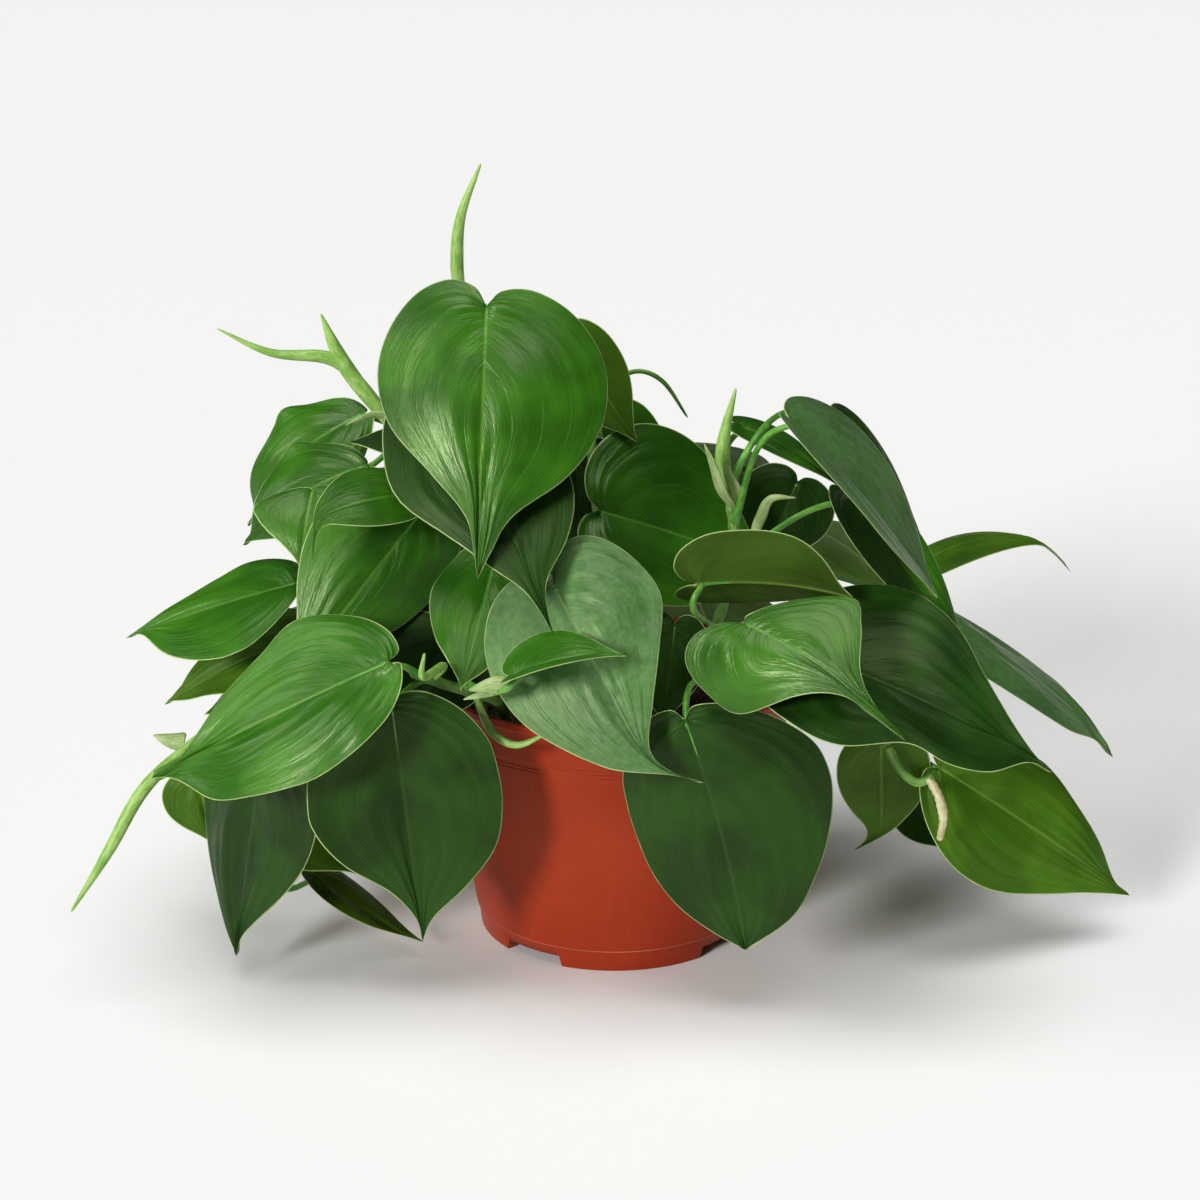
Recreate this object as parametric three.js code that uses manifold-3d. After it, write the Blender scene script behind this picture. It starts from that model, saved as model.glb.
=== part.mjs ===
// A heartleaf philodendron in a nursery pot. Millimetres, +Z up.
// The origin is on the pot's axis, on the plane that its feet stand on, and -Y is the front.
import * as THREE from "three";
import { mergeVertices } from "three/addons/utils/BufferGeometryUtils.js";
import Module from "manifold-3d";

const wasm = await Module();
wasm.setup();

// Driving dimensions of the pot and its soil.
const POT_HEIGHT = 111;
const RIM_RADIUS = 76;
const BEAD_HEIGHT = 3;
const COLLAR_BOTTOM = 94.6;
const COLLAR_RADIUS = 73.4;
const WALL_TOP_RADIUS = 72.2;
const SEAM_HEIGHT = 9.3;
const SEAM_RADIUS = 58.9;
const FOOT_RADIUS = 57;
const FOOT_WIDTH = 4;
const FLOOR_HEIGHT = 6;
const WALL = 1.8;
const EDGE = 0.7;
const POT_SIDES = 32;
const NOTCH_COUNT = 4;
const NOTCH_WIDTH = 27;
const NOTCH_HEIGHT = 4.6;
const FIRST_NOTCH_ANGLE = THREE.MathUtils.degToRad(-127);
const DRAIN_RADIUS = 5;
const DRAIN_CIRCLE = 34;
const DRAIN_COUNT = 6;
const DRAIN_SIDES = 10;
const SOIL_TOP = 101;
const SOIL_EDGE = 2;
const SOIL_RINGS = 5;
const SOIL_SIDES = 20;
const LUMP_HEIGHT = 1.6;
const LUMP_LENGTHS = [5.3, 9.1, 6.7, 11.3];

// Driving dimensions of the plant.
const GAP = 0.3;
const BLADE = 0.8;
const STEM_RADIUS = [2.6, 1.9];
const STEM_SIDES = 7;
const STEM_STEPS = 7;
const SPROUT_SIDES = 6;
const SPROUT_STEPS = 5;
const HOLE_DEPTH = 1;
const PETIOLE_RADII = [1.5, 1.3, 1.2, 0.5];
const PETIOLE_SIDES = 5;
const PETIOLE_STEPS = 3;
const PETIOLE_REACH = 2;
const PETIOLE_DEPTH = BLADE / 2 + GAP + 0.4;

// Where the two middle handles of a petiole's curve lie, as shares of its length: the first ahead
// of its foot and above it, the second behind its end and below it.
const FIRST_HANDLE = [0.3, 0.15];
const SECOND_HANDLE = [0.2, 0.25];

// The direction that leaves are turned from: level towards the viewer, and how far above.
const VIEW_LEVEL = 0.951;
const VIEW_HEIGHT = 0.309;

const COLOURS = {
  terracotta: 0xb04a2c,
  soil: 0x2b1c12,
  stem: 0x6f9a45,
  dark: 0x1f5424,
  middle: 0x37782a,
  bright: 0x4f9434,
  olive: 0x5f8a2c,
  grey: 0x4d7a50,
};

// The heart shape. Each row is one vein: where it leaves the midrib, how far out its end lies on
// the margin, and how far along its end lies. Along is a share of the length from notch to tip,
// and out is a share of the widest half.
const VEINS = [
  [0.01, 0.12, -0.075],
  [0.025, 0.38, -0.1],
  [0.05, 0.69, -0.04],
  [0.1, 0.93, 0.1],
  [0.17, 1, 0.27],
  [0.27, 0.92, 0.45],
  [0.4, 0.69, 0.62],
  [0.56, 0.38, 0.77],
  [0.75, 0.13, 0.9],
];
const WIDEST_VEIN = 4;
const PLAIN_TAIL = VEINS.slice(WIDEST_VEIN + 1).map((vein) => vein[1]);
const LOBE_VEINS = 6;
const VEIN_SWEEP = 1.4;
const HOOK_START = 0.75;
const WAVE_STEP = 2.2;
const WAVE_POWER = 3;
const CELLS = 6;
const SMALL_CELLS = 4;

// Each vine is a stem that stands in the soil. Its route runs from its root to its growing end.
const VINES = {
  crown: [[-18, 8, 72], [-24, 4, 120], [-40, -4, 180], [-54, -12, 235], [-60, -20, 274]],
  upper_left: [[-34, 14, 72], [-46, 14, 120], [-62, 14, 160], [-82, 12, 202], [-93, -10, 224]],
  left: [[-46, 0, 72], [-58, -8, 112], [-80, -18, 138], [-104, -24, 146], [-120, -26, 142]],
  lower_left: [[-50, -14, 72], [-60, -22, 112], [-90, -34, 122], [-126, -34, 114], [-163, -39, 101]],
  front_left: [[-40, -34, 72], [-45, -49, 112], [-55, -72, 127], [-66, -81, 134], [-77, -86, 140]],
  middle: [[2, -12, 72], [0, -18, 120], [-4, -20, 160], [-8, -16, 195], [-10, -6, 220]],
  upper_right: [[20, 4, 72], [30, -14, 110], [40, -34, 140], [48, -28, 170], [45, -20, 199]],
  right: [[38, -12, 72], [48, -22, 118], [66, -34, 140], [84, -40, 150], [96, -30, 152]],
  lower_right: [[50, 6, 72], [60, 0, 112], [84, -15, 117], [103, -38, 105], [110, -50, 96]],
  back: [[4, 34, 72], [2, 42, 120], [-4, 44, 160], [-10, 44, 190]],
};

// What else grows out of a vine: rolled young leaves, sheaths, a tendril and an aerial root.
const SPROUTS = [
  {
    vine: "crown",
    route: [[-60, -20, 270], [-62, -20, 288], [-60, -20, 306], [-52, -20, 326]],
    radius: [1.8, 2.7, 1.9, 0.5],
  },
  {
    vine: "upper_left",
    route: [[-93, -10, 222], [-105, -10, 240], [-112, -10, 250], [-117, -10, 263]],
    radius: [1.9, 2.6, 2.2, 0.5],
  },
  {
    vine: "upper_left",
    route: [[-105, -10, 240], [-117, -10, 247], [-137, -14, 250], [-156, -15, 257]],
    radius: [1.6, 2.4, 1.7, 0.5],
  },
  {
    vine: "lower_left",
    route: [[-163, -39, 101], [-186, -66, 86], [-201, -76, 62], [-217, -80, 37]],
    radius: [1.7, 2.6, 2.2, 0.5],
  },
  {
    vine: "upper_right",
    route: [[45, -20, 197], [43, -20, 208], [44, -20, 220], [48, -20, 237]],
    radius: [1.8, 3.2, 2.2, 0.5],
  },
  {
    vine: "upper_right",
    route: [[48, -22, 187], [42, -31, 196], [38, -34, 209], [35, -34, 218]],
    radius: [1.4, 2.2, 1.6, 0.5],
  },
  {
    vine: "front_left",
    route: [[-70, -84, 138], [-66, -94, 146], [-72, -117, 150], [-71, -119, 160]],
    radius: [1.6, 1.8, 1.4, 0.5],
  },
  {
    vine: "front_left",
    route: [[-55, -72, 127], [-48, -80, 114], [-38, -84, 110], [-26, -86, 116]],
    radius: [1.4, 1.7, 1.4, 0.5],
  },
  {
    vine: "middle",
    route: [[-10, -8, 212], [-4, 26, 224], [8, 34, 231], [20, 34, 227], [31, 34, 211]],
    radius: [1.2, 1, 1, 1, 0.5],
  },
  {
    vine: "lower_right",
    route: [[110, -50, 96], [115, -56, 88], [121, -61, 85], [127, -64, 89]],
    radius: [1.9, 1.8, 1.8, 1.6],
  },
  {
    vine: "lower_right",
    route: [[125, -63, 88], [129, -67, 81], [131, -67, 72], [130, -66, 62]],
    radius: [1.6, 1.9, 1.8, 1.2],
  },
];

// Every leaf: notch is where the petiole meets the blade. roll turns its face, in degrees, from
// the front view towards the leaf's own right, seen from above with its tip pointing down, and
// back: true counts it from the back view. half is the widest half to the left and to the right.
// bow and sweep are how far the midrib arches up and to the right, and hook how far its last
// quarter turns up and right. lobe lengthens the lobe on each side. These are shares of the
// length. tail is how far out the last four veins end, on each side. fold is the angle at
// the midrib, in radians, and droop how much further each half has bent down at its margin. wave
// is the height of the margin's waves in mm. at is the petiole's place on its vine, and bend its
// sideways bow in mm. small leaves have fewer cells across.
const LEAVES = [
  { name: "crown", notch: [-49, -55, 277], tip: [-52, -97, 181], roll: 0, half: [0.4, 0.46],
    lobe: [0.02, -0.12], bow: 0.05, droop: [0.4, 0.4], hook: [0.03, 0],
    tail: [[0.85, 0.46, 0.13, 0.04], [0.93, 0.68, 0.26, 0.1]], vine: "crown", at: 0.94, tone: "middle" },
  { name: "under_crown", notch: [-57, -54, 231], tip: [-23, -112, 164], roll: 5, half: [0.38, 0.31],
    droop: [0.1, 0.2], tail: [[0.62, 0.36, 0.12, 0.03], [0.95, 0.65, 0.18, 0.04]], lobe: [0.5, 0],
    vine: "crown", at: 0.7, tone: "dark", small: true },
  { name: "silver", notch: [-24, -86, 176], tip: [20, -128, 104], roll: 0, half: [0.4, 0.37],
    lobe: [0, 0.18], bow: 0.05, droop: [0.2, 0.3], hook: [0, 0.165],
    tail: [[0.92, 0.68, 0.38, 0.04], [0.68, 0.36, 0.09, 0.02]], vine: "middle", at: 0.5,
    bend: [-4, 0, -6], tone: "grey" },
  { name: "young", notch: [-38, -118, 151], tip: [4, -120, 159], roll: 66, half: [0.4, 0.4], bow: 0.08,
    fold: -0.3, vine: "front_left", at: 0.55, bend: [-8, -12, 4], tone: "bright", small: true },
  { name: "inner_left", notch: [-47, -60, 178], tip: [-59, -98, 137], roll: -20, half: [0.42, 0.42],
    droop: [0.3, 0.3], wave: 1.5, vine: "crown", at: 0.45, tone: "middle", small: true },
  { name: "wavy", notch: [-60, -10, 167], tip: [-90, -38, 141], roll: -20, half: [0.45, 0.45],
    droop: [0.2, 0.2], wave: 2, vine: "crown", at: 0.35, bend: [0, 6, 0], tone: "dark", small: true },
  { name: "dark_right", notch: [-6, -30, 189], tip: [66, 0, 154], roll: 24, half: [0.4, 0.5],
    bow: 0.04, fold: -0.1, vine: "middle", at: 0.75, tone: "middle" },
  { name: "behind_crown", notch: [-19, -5, 254], tip: [9, -14, 213], roll: 0, half: [0.36, 0.3],
    droop: [0.3, 0.3], vine: "middle", at: 0.95, tone: "olive", small: true },
  { name: "behind_middle", notch: [-2, 14, 215], tip: [24, 22, 204], roll: 10, half: [0.4, 0.4],
    vine: "back", at: 0.98, tone: "bright", small: true },
  { name: "underside", notch: [31, -78, 174], tip: [91, -84, 170], roll: 126, half: [0.4, 0.42],
    lobe: [0.15, 0.1], bow: 0.06, fold: -0.3, tail: [[1, 0.9, 0.62, 0.2], [0.92, 0.69, 0.38, 0.13]],
    vine: "right", at: 0.3, tone: "olive", small: true },
  { name: "front_right", notch: [48, -105, 167], tip: [106, -140, 133], roll: 12, half: [0.44, 0.4],
    bow: 0.06, droop: [0.9, 0.3], lobe: [0.35, -0.6], sweep: 0.04,
    tail: [[0.42, 0.13, 0.08, 0.04], [0.8, 0.25, 0.05, 0.03]], vine: "right", at: 0.4, tone: "middle" },
  { name: "large_right", notch: [76, -88, 148], tip: [166, -108, 108], roll: 36, half: [0.42, 0.42],
    bow: 0.05, fold: -0.25, droop: [0.1, 0.2], lobe: [0.3, 0],
    tail: [[0.62, 0.62, 0.45, 0.06], [0.84, 0.5, 0.24, 0.07]], vine: "right", at: 0.75, tone: "dark" },
  { name: "front_low", notch: [26, -106, 129], tip: [51, -102, 31], roll: -12, half: [0.345, 0.46],
    bow: 0.03, sweep: 0.03, droop: [0.4, 0.4], lobe: [-0.3, -0.3],
    tail: [[1, 0.92, 0.7, 0.34], [0.97, 0.84, 0.66, 0.43]], vine: "right", at: 0.15, tone: "dark" },
  { name: "front_left", notch: [-86, -90, 128], tip: [-76, -92, 30], roll: 0, half: [0.38, 0.385],
    fold: -0.1, droop: [-0.2, 0.1], lobe: [-0.35, -0.2],
    tail: [[0.98, 0.72, 0.27, 0.04], [1, 0.88, 0.55, 0.15]], vine: "front_left", at: 0.9, tone: "dark" },
  { name: "big_left", notch: [-86, -100, 150], tip: [-181, -84, 96], roll: -32, half: [0.31, 0.3],
    bow: 0.02, wave: 1, tail: [[0.85, 0.6, 0.24, 0.04], [0.98, 0.87, 0.65, 0.18]], lobe: [-0.3, -0.3],
    vine: "front_left", at: 1, tone: "bright" },
  { name: "low_left", notch: [-140, -66, 104], tip: [-154, -66, 11], roll: -40, half: [0.38, 0.36],
    droop: [0.2, 0.2], tail: [[0.9, 0.72, 0.48, 0.24], [0.9, 0.64, 0.32, 0.06]], vine: "lower_left",
    at: 0.7, tone: "dark" },
  { name: "satin_left", notch: [-75, -38, 193], tip: [-128, -64, 130], roll: 4, half: [0.38, 0.3],
    bow: 0.03, fold: 0.1, droop: [0.2, 0.4], vine: "upper_left", at: 0.5, tone: "middle" },
  { name: "arched_left", notch: [-79, -53, 202], tip: [-122, -72, 194], roll: -30, half: [0.42, 0.25],
    bow: 0.12, droop: [0.5, 0.5], hook: [0, 0.35], vine: "crown", at: 0.58, bend: [0, -2, 5],
    tone: "middle", small: true },
  { name: "small_dark", notch: [-72, -30, 218], tip: [-105, -40, 220], roll: -50, half: [0.3, 0.35],
    vine: "crown", at: 0.65, tone: "dark", small: true },
  { name: "round_left", notch: [-121, -23, 196], tip: [-125, -44, 170], roll: 0, half: [0.66, 0.56],
    bow: 0.1, droop: [0.2, 0.2], lobe: [-0.5, 0], vine: "left", at: 0.75, bend: [6, -12, 0],
    tone: "middle", small: true },
  { name: "shoulder_left", notch: [-101, -4, 201], tip: [-152, -8, 168], roll: -25, half: [0.42, 0.37],
    bow: 0.15, droop: [0.4, 0.3], lobe: [-0.5, -0.4], wave: 1.5, vine: "upper_left", at: 0.8,
    tone: "middle", small: true },
  { name: "upper_left", notch: [-103, 20, 217], tip: [-153, 20, 168], roll: -25, half: [0.34, 0.36],
    bow: 0.2, droop: [0.4, 0.3], lobe: [-0.5, -0.5], wave: 2, vine: "upper_left", at: 0.6,
    bend: [6, 12, 0], tone: "middle", small: true },
  { name: "left", notch: [-128, -30, 159], tip: [-199, -26, 134], roll: -50, half: [0.33, 0.41],
    bow: 0.02, droop: [0.2, 0.1], lobe: [-0.25, -0.5],
    tail: [[0.8, 0.55, 0.36, 0.14], [1, 0.85, 0.55, 0.06]], vine: "left", at: 0.9, tone: "bright",
    small: true },
  { name: "left_lower", notch: [-129, -18, 131], tip: [-187, -12, 100], roll: -50, half: [0.38, 0.28],
    bow: 0.05, wave: 1, vine: "left", at: 0.8, tone: "olive", small: true },
  { name: "left_inner", notch: [-131, -8, 112], tip: [-172, -5, 93], roll: -35, half: [0.38, 0.3],
    vine: "left", at: 0.7, tone: "olive", small: true },
  { name: "left_low", notch: [-173, -28, 75], tip: [-165, -33, 45], roll: 0, half: [0.52, 0.5],
    vine: "lower_left", at: 0.85, bend: [0, 8, 0], tone: "olive", small: true },
  { name: "low_olive", notch: [-128, -44, 68], tip: [-105, -54, 42], roll: 20, half: [0.6, 0.45],
    vine: "lower_left", at: 0.6, tone: "olive", small: true },
  { name: "low_strip", notch: [-125, -34, 34], tip: [-79, -44, 7], roll: 72, half: [0.25, 0.32],
    bow: -0.04, vine: "lower_left", at: 0.72, bend: [-12, 4, -24], tone: "olive", small: true },
  { name: "upper_right", notch: [68, -45, 230], tip: [126, -60, 162], roll: 70, half: [0.42, 0.5],
    fold: -0.15, bow: 0.03, tail: [[1, 1, 0.7, 0.25], [0.95, 0.75, 0.45, 0.15]], lobe: [-0.2, -0.15],
    vine: "upper_right", at: 0.85, tone: "grey" },
  { name: "behind_right", notch: [95, -20, 192], tip: [143, -46, 132], roll: 55, half: [0.42, 0.26],
    fold: -0.2, vine: "upper_right", at: 0.7, tone: "middle" },
  { name: "shadow_right", notch: [92, 24, 210], tip: [133, 20, 155], roll: 60, half: [0.36, 0.4],
    vine: "upper_right", at: 0.97, bend: [0, -4, 16], tone: "dark", small: true },
  { name: "edge_right", notch: [52, 22, 211], tip: [95, 16, 185], roll: 65, half: [0.3, 0.3],
    bow: 0.06, vine: "upper_right", at: 0.9, tone: "middle", small: true },
  { name: "dark_behind", notch: [78, 40, 182], tip: [60, 24, 148], roll: 0, half: [0.5, 0.5],
    vine: "back", at: 0.7, bend: [0, 12, 0], tone: "dark", small: true },
  { name: "far_right_upper", notch: [125, 34, 143], tip: [197, 47, 148], roll: 74, half: [0.28, 0.28],
    bow: 0.15, droop: [0.2, 0.2], hook: [-0.12, 0], vine: "right", at: 0.95, bend: [0, 0, -5],
    tone: "olive", small: true },
  { name: "far_right", notch: [129, -14, 139], tip: [206, -12, 84], roll: 70, half: [0.28, 0.34],
    bow: 0.04, droop: [0.2, 0.2], hook: [0, -0.17], sweep: 0,
    tail: [[1, 0.95, 0.8, 0.3], [1, 0.95, 0.8, 0.3]], vine: "right", at: 0.9, tone: "grey",
    small: true },
  { name: "low_right", notch: [132, -42, 84], tip: [217, -24, 19], roll: 20, half: [0.31, 0.26],
    bow: 0.02, droop: [0.1, 0.2], lobe: [-0.25, -0.3],
    tail: [[0.92, 0.65, 0.37, 0.15], [0.98, 0.72, 0.43, 0.06]], vine: "lower_right", at: 0.75,
    tone: "olive" },
  { name: "hanging_right", notch: [108, -42, 95], tip: [110, -40, 47], roll: 0, half: [0.38, 0.42],
    hook: [0, -0.25], vine: "lower_right", at: 0.65, tone: "olive", small: true },
  { name: "behind_low_right", notch: [123, -5, 55], tip: [143, -15, 35], roll: 20, half: [0.4, 0.4],
    vine: "lower_right", at: 0.5, tone: "dark", small: true },
  { name: "inner_dark", notch: [-66, -47, 143], tip: [-86, -64, 106], roll: 0, half: [0.55, 0.5],
    vine: "left", at: 0.45, tone: "dark", small: true },
  { name: "inner_middle", notch: [-16, 16, 202], tip: [-14, 16, 148], roll: 0, half: [0.42, 0.42],
    vine: "back", at: 0.82, tone: "dark", small: true },
  { name: "inner_right", notch: [24, -43, 146], tip: [19, -60, 108], roll: 0, half: [0.42, 0.37],
    droop: [0.3, 0.3], vine: "upper_right", at: 0.3, tone: "dark", small: true },
  { name: "back_crown", notch: [-25, 50, 215], tip: [-35, 112, 150], back: true, roll: 10,
    half: [0.42, 0.42], bow: 0.08, droop: [0.3, 0.3], vine: "back", at: 0.95, tone: "middle" },
  { name: "back_left", notch: [-70, 45, 185], tip: [-122, 92, 120], back: true, roll: 30,
    half: [0.42, 0.42], bow: 0.08, droop: [0.3, 0.3], vine: "back", at: 0.75, tone: "dark" },
  { name: "back_right", notch: [28, 56, 192], tip: [52, 114, 138], back: true, roll: -10,
    half: [0.42, 0.42], bow: 0.08, droop: [0.3, 0.3], vine: "back", at: 0.9, tone: "middle" },
  { name: "back_far_right", notch: [82, 58, 158], tip: [134, 98, 104], back: true, roll: -30,
    half: [0.42, 0.42], bow: 0.08, droop: [0.3, 0.3], vine: "back", at: 0.6, tone: "bright",
    small: true },
  { name: "back_far_left", notch: [-108, 40, 128], tip: [-165, 76, 68], back: true, roll: 30,
    half: [0.42, 0.42], bow: 0.08, droop: [0.3, 0.3], vine: "back", at: 0.5, tone: "middle",
    small: true },
  { name: "back_low", notch: [-32, 84, 128], tip: [-44, 140, 52], back: true, roll: 0,
    half: [0.42, 0.42], bow: 0.08, droop: [0.3, 0.3], vine: "back", at: 0.65, tone: "dark",
    small: true },
  { name: "back_low_right", notch: [36, 80, 120], tip: [54, 132, 44], back: true, roll: -10,
    half: [0.42, 0.42], bow: 0.08, droop: [0.3, 0.3], vine: "back", at: 0.55, tone: "middle",
    small: true },
];

const root = new THREE.Group();

// Turns a closed geometry into a solid that can be joined and cut.
function solidOf(geometry) {
  const bare = geometry.clone();
  bare.deleteAttribute("normal");
  bare.deleteAttribute("uv");
  const merged = mergeVertices(bare, 1e-4);
  return new wasm.Manifold(new wasm.Mesh({
    numProp: 3,
    vertProperties: new Float32Array(merged.attributes.position.array),
    triVerts: new Uint32Array(merged.index.array),
  }));
}

// Adds a solid to the model as a named mesh.
function addMesh(name, solid, colour, roughness) {
  const made = solid.getMesh();
  const geometry = new THREE.BufferGeometry();
  geometry.setAttribute("position", new THREE.BufferAttribute(made.vertProperties, 3));
  geometry.setIndex(new THREE.BufferAttribute(made.triVerts, 1));
  geometry.computeVertexNormals();
  const material = new THREE.MeshStandardMaterial({ color: colour, roughness, metalness: 0 });
  const mesh = new THREE.Mesh(geometry, material);
  mesh.name = name;
  root.add(mesh);
}

// A geometry from a list of points and a list of corner numbers.
function closedGeometry(vertices, corners) {
  const numbers = vertices.flatMap((v) => v.toArray());
  const geometry = new THREE.BufferGeometry();
  geometry.setAttribute("position", new THREE.Float32BufferAttribute(numbers, 3));
  geometry.setIndex(corners);
  return geometry;
}

// A solid of revolution about the pot's axis, from points of radius and height.
function turned(profile, sides) {
  const points = profile.map(([radius, height]) => new THREE.Vector2(radius, height));
  return new THREE.LatheGeometry(points, sides).rotateX(Math.PI / 2);
}

// The radius of the pot's outer wall at a height between its seam and its collar.
function wallRadius(height) {
  return THREE.MathUtils.mapLinear(height, SEAM_HEIGHT, COLLAR_BOTTOM, SEAM_RADIUS, WALL_TOP_RADIUS);
}

// The thin wall with its flared collar and bead, its foot ring and its raised floor.
function makeWall() {
  const profile = [
    [0, FLOOR_HEIGHT],
    [FOOT_RADIUS - FOOT_WIDTH, FLOOR_HEIGHT],
    [FOOT_RADIUS - FOOT_WIDTH, 0],
    [FOOT_RADIUS - EDGE, 0],
    [FOOT_RADIUS, EDGE],
    [SEAM_RADIUS - EDGE, SEAM_HEIGHT],
    [SEAM_RADIUS, SEAM_HEIGHT + EDGE],
    [WALL_TOP_RADIUS, COLLAR_BOTTOM - EDGE],
    [COLLAR_RADIUS, COLLAR_BOTTOM],
    [RIM_RADIUS - EDGE, POT_HEIGHT - BEAD_HEIGHT - EDGE],
    [RIM_RADIUS, POT_HEIGHT - BEAD_HEIGHT],
    [RIM_RADIUS, POT_HEIGHT - EDGE],
    [RIM_RADIUS - EDGE, POT_HEIGHT],
    [RIM_RADIUS - WALL - EDGE, POT_HEIGHT],
    [COLLAR_RADIUS - WALL, COLLAR_BOTTOM],
    [wallRadius(SEAM_HEIGHT + WALL) - WALL, FLOOR_HEIGHT + WALL],
    [0, FLOOR_HEIGHT + WALL],
  ];
  return solidOf(turned(profile, POT_SIDES));
}

// The wall with the notches cut between its feet, and its drain holes.
function makePot() {
  let pot = makeWall();
  for (let i = 0; i < NOTCH_COUNT; i++) {
    const notch = new THREE.BoxGeometry(3 * FOOT_WIDTH, NOTCH_WIDTH, 2 * NOTCH_HEIGHT);
    notch.translate(FOOT_RADIUS, 0, 0);
    notch.rotateZ(FIRST_NOTCH_ANGLE + (i * 2 * Math.PI) / NOTCH_COUNT);
    pot = pot.subtract(solidOf(notch));
  }
  for (let i = 0; i < DRAIN_COUNT; i++) {
    const drain = new THREE.CylinderGeometry(DRAIN_RADIUS, DRAIN_RADIUS, 4 * WALL, DRAIN_SIDES);
    drain.rotateX(Math.PI / 2);
    drain.translate(DRAIN_CIRCLE, 0, FLOOR_HEIGHT);
    drain.rotateZ((i * 2 * Math.PI) / DRAIN_COUNT);
    pot = pot.subtract(solidOf(drain));
  }
  return pot;
}

// How far the soil stands above or below its mean height: lumps as crossed sine waves.
function soilLump(x, y) {
  const [a, b, c, d] = LUMP_LENGTHS;
  return LUMP_HEIGHT * Math.sin(x / a + y / b) * Math.cos(y / c - x / d);
}

// The soil fills the pot to just under the rim, and its top is lumpy.
function makeSoil() {
  const bottom = FLOOR_HEIGHT + WALL + GAP;
  const topRadius = COLLAR_RADIUS - WALL - GAP;
  const profile = [
    [0, bottom],
    [wallRadius(bottom) - WALL - 2 * GAP, bottom],
    [wallRadius(COLLAR_BOTTOM) - WALL - 2 * GAP, COLLAR_BOTTOM - EDGE],
    [topRadius, SOIL_TOP - SOIL_EDGE],
  ];
  for (let ring = SOIL_RINGS; ring >= 0; ring--) {
    profile.push([((topRadius - 2 * SOIL_EDGE) * ring) / SOIL_RINGS, SOIL_TOP]);
  }
  const geometry = turned(profile, SOIL_SIDES);
  const position = geometry.attributes.position;
  for (let i = 0; i < position.count; i++) {
    if (position.getZ(i) < SOIL_TOP - 1) continue;
    position.setZ(i, SOIL_TOP + soilLump(position.getX(i), position.getY(i)));
  }
  return solidOf(geometry);
}

// The rings of points round a path, each carried on from the last without twist.
function tubeRings(points, radii, sides) {
  const rings = [];
  let across = new THREE.Vector3(0.3, 0.9, 0.1);
  points.forEach((point, i) => {
    const ahead = points[Math.min(i + 1, points.length - 1)].clone();
    ahead.sub(points[Math.max(i - 1, 0)]).normalize();
    across = across.clone().addScaledVector(ahead, -across.dot(ahead)).normalize();
    const up = ahead.cross(across);
    for (let k = 0; k < sides; k++) {
      const angle = (k * 2 * Math.PI) / sides;
      const corner = point.clone().addScaledVector(across, radii[i] * Math.cos(angle));
      rings.push(corner.addScaledVector(up, radii[i] * Math.sin(angle)));
    }
  });
  return rings;
}

// A closed round tube along points, with a radius at each.
function tube(points, radii, sides) {
  const last = points.length - 1;
  const vertices = tubeRings(points, radii, sides);
  const start = vertices.push(points[0]) - 1;
  const end = vertices.push(points[last]) - 1;
  const corners = [];
  for (let k = 0; k < sides; k++) {
    const next = (k + 1) % sides;
    for (let i = 0; i < last; i++) {
      const [near, far] = [i * sides, (i + 1) * sides];
      corners.push(near + k, near + next, far + next);
      corners.push(near + k, far + next, far + k);
    }
    corners.push(start, next, k);
    corners.push(end, last * sides + k, last * sides + next);
  }
  return closedGeometry(vertices, corners);
}

// A smooth curve through the points of a route.
function routeCurve(route) {
  const points = route.map((p) => new THREE.Vector3(...p));
  return new THREE.CatmullRomCurve3(points, false, "catmullrom");
}

// A closed tube along a curve, with its radii spread evenly over it.
function curveTube(curve, radii, steps, sides) {
  const points = curve.getPoints(steps);
  const spread = points.map((_, i) => {
    const place = (i / steps) * (radii.length - 1);
    const before = Math.min(Math.floor(place), radii.length - 2);
    return THREE.MathUtils.lerp(radii[before], radii[before + 1], place - before);
  });
  return solidOf(tube(points, spread, sides));
}

// The leaf's own axes at its notch: along to the tip, up out of its face, right across it.
function leafAxes(leaf) {
  const notch = new THREE.Vector3(...leaf.notch);
  const along = new THREE.Vector3(...leaf.tip).sub(notch);
  const length = along.length();
  along.normalize();
  const view = new THREE.Vector3(0, leaf.back ? VIEW_LEVEL : -VIEW_LEVEL, VIEW_HEIGHT);
  const up = view.addScaledVector(along, -view.dot(along)).normalize();
  up.applyAxisAngle(along, THREE.MathUtils.degToRad(-leaf.roll));
  const right = up.clone().cross(along);
  return { notch, along, up, right, length };
}

// A point of the blade: place is its distance along the midrib and out its signed share of the
// half. The midrib arches as a parabola, and each half is an arc that starts at the fold angle.
function bladePoint(leaf, axes, place, out, rise) {
  const { bow = 0, sweep = 0, hook = [0, 0], fold = 0, droop = [0, 0] } = leaf;
  const side = out < 0 ? 0 : 1;
  const half = leaf.half[side] * axes.length;
  const arch = 4 * place * (1 - place);
  const late = (Math.max(0, place - HOOK_START) / (1 - HOOK_START)) ** 2;
  const slope = 4 * bow * (1 - 2 * place);
  const normal = axes.up.clone().addScaledVector(axes.along, -slope).normalize();
  const bend = droop[side] || 1e-3;
  const angle = fold + bend * Math.abs(out);
  const level = (half * (Math.sin(angle) - Math.sin(fold))) / bend;
  const drop = (half * (Math.cos(fold) - Math.cos(angle))) / bend;
  return axes.notch.clone()
    .addScaledVector(axes.along, place * axes.length)
    .addScaledVector(axes.up, (bow * arch + hook[0] * late) * axes.length)
    .addScaledVector(axes.right, (sweep * arch + hook[1] * late) * axes.length)
    .addScaledVector(axes.right, Math.sign(out) * level)
    .addScaledVector(normal, rise - drop);
}

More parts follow.
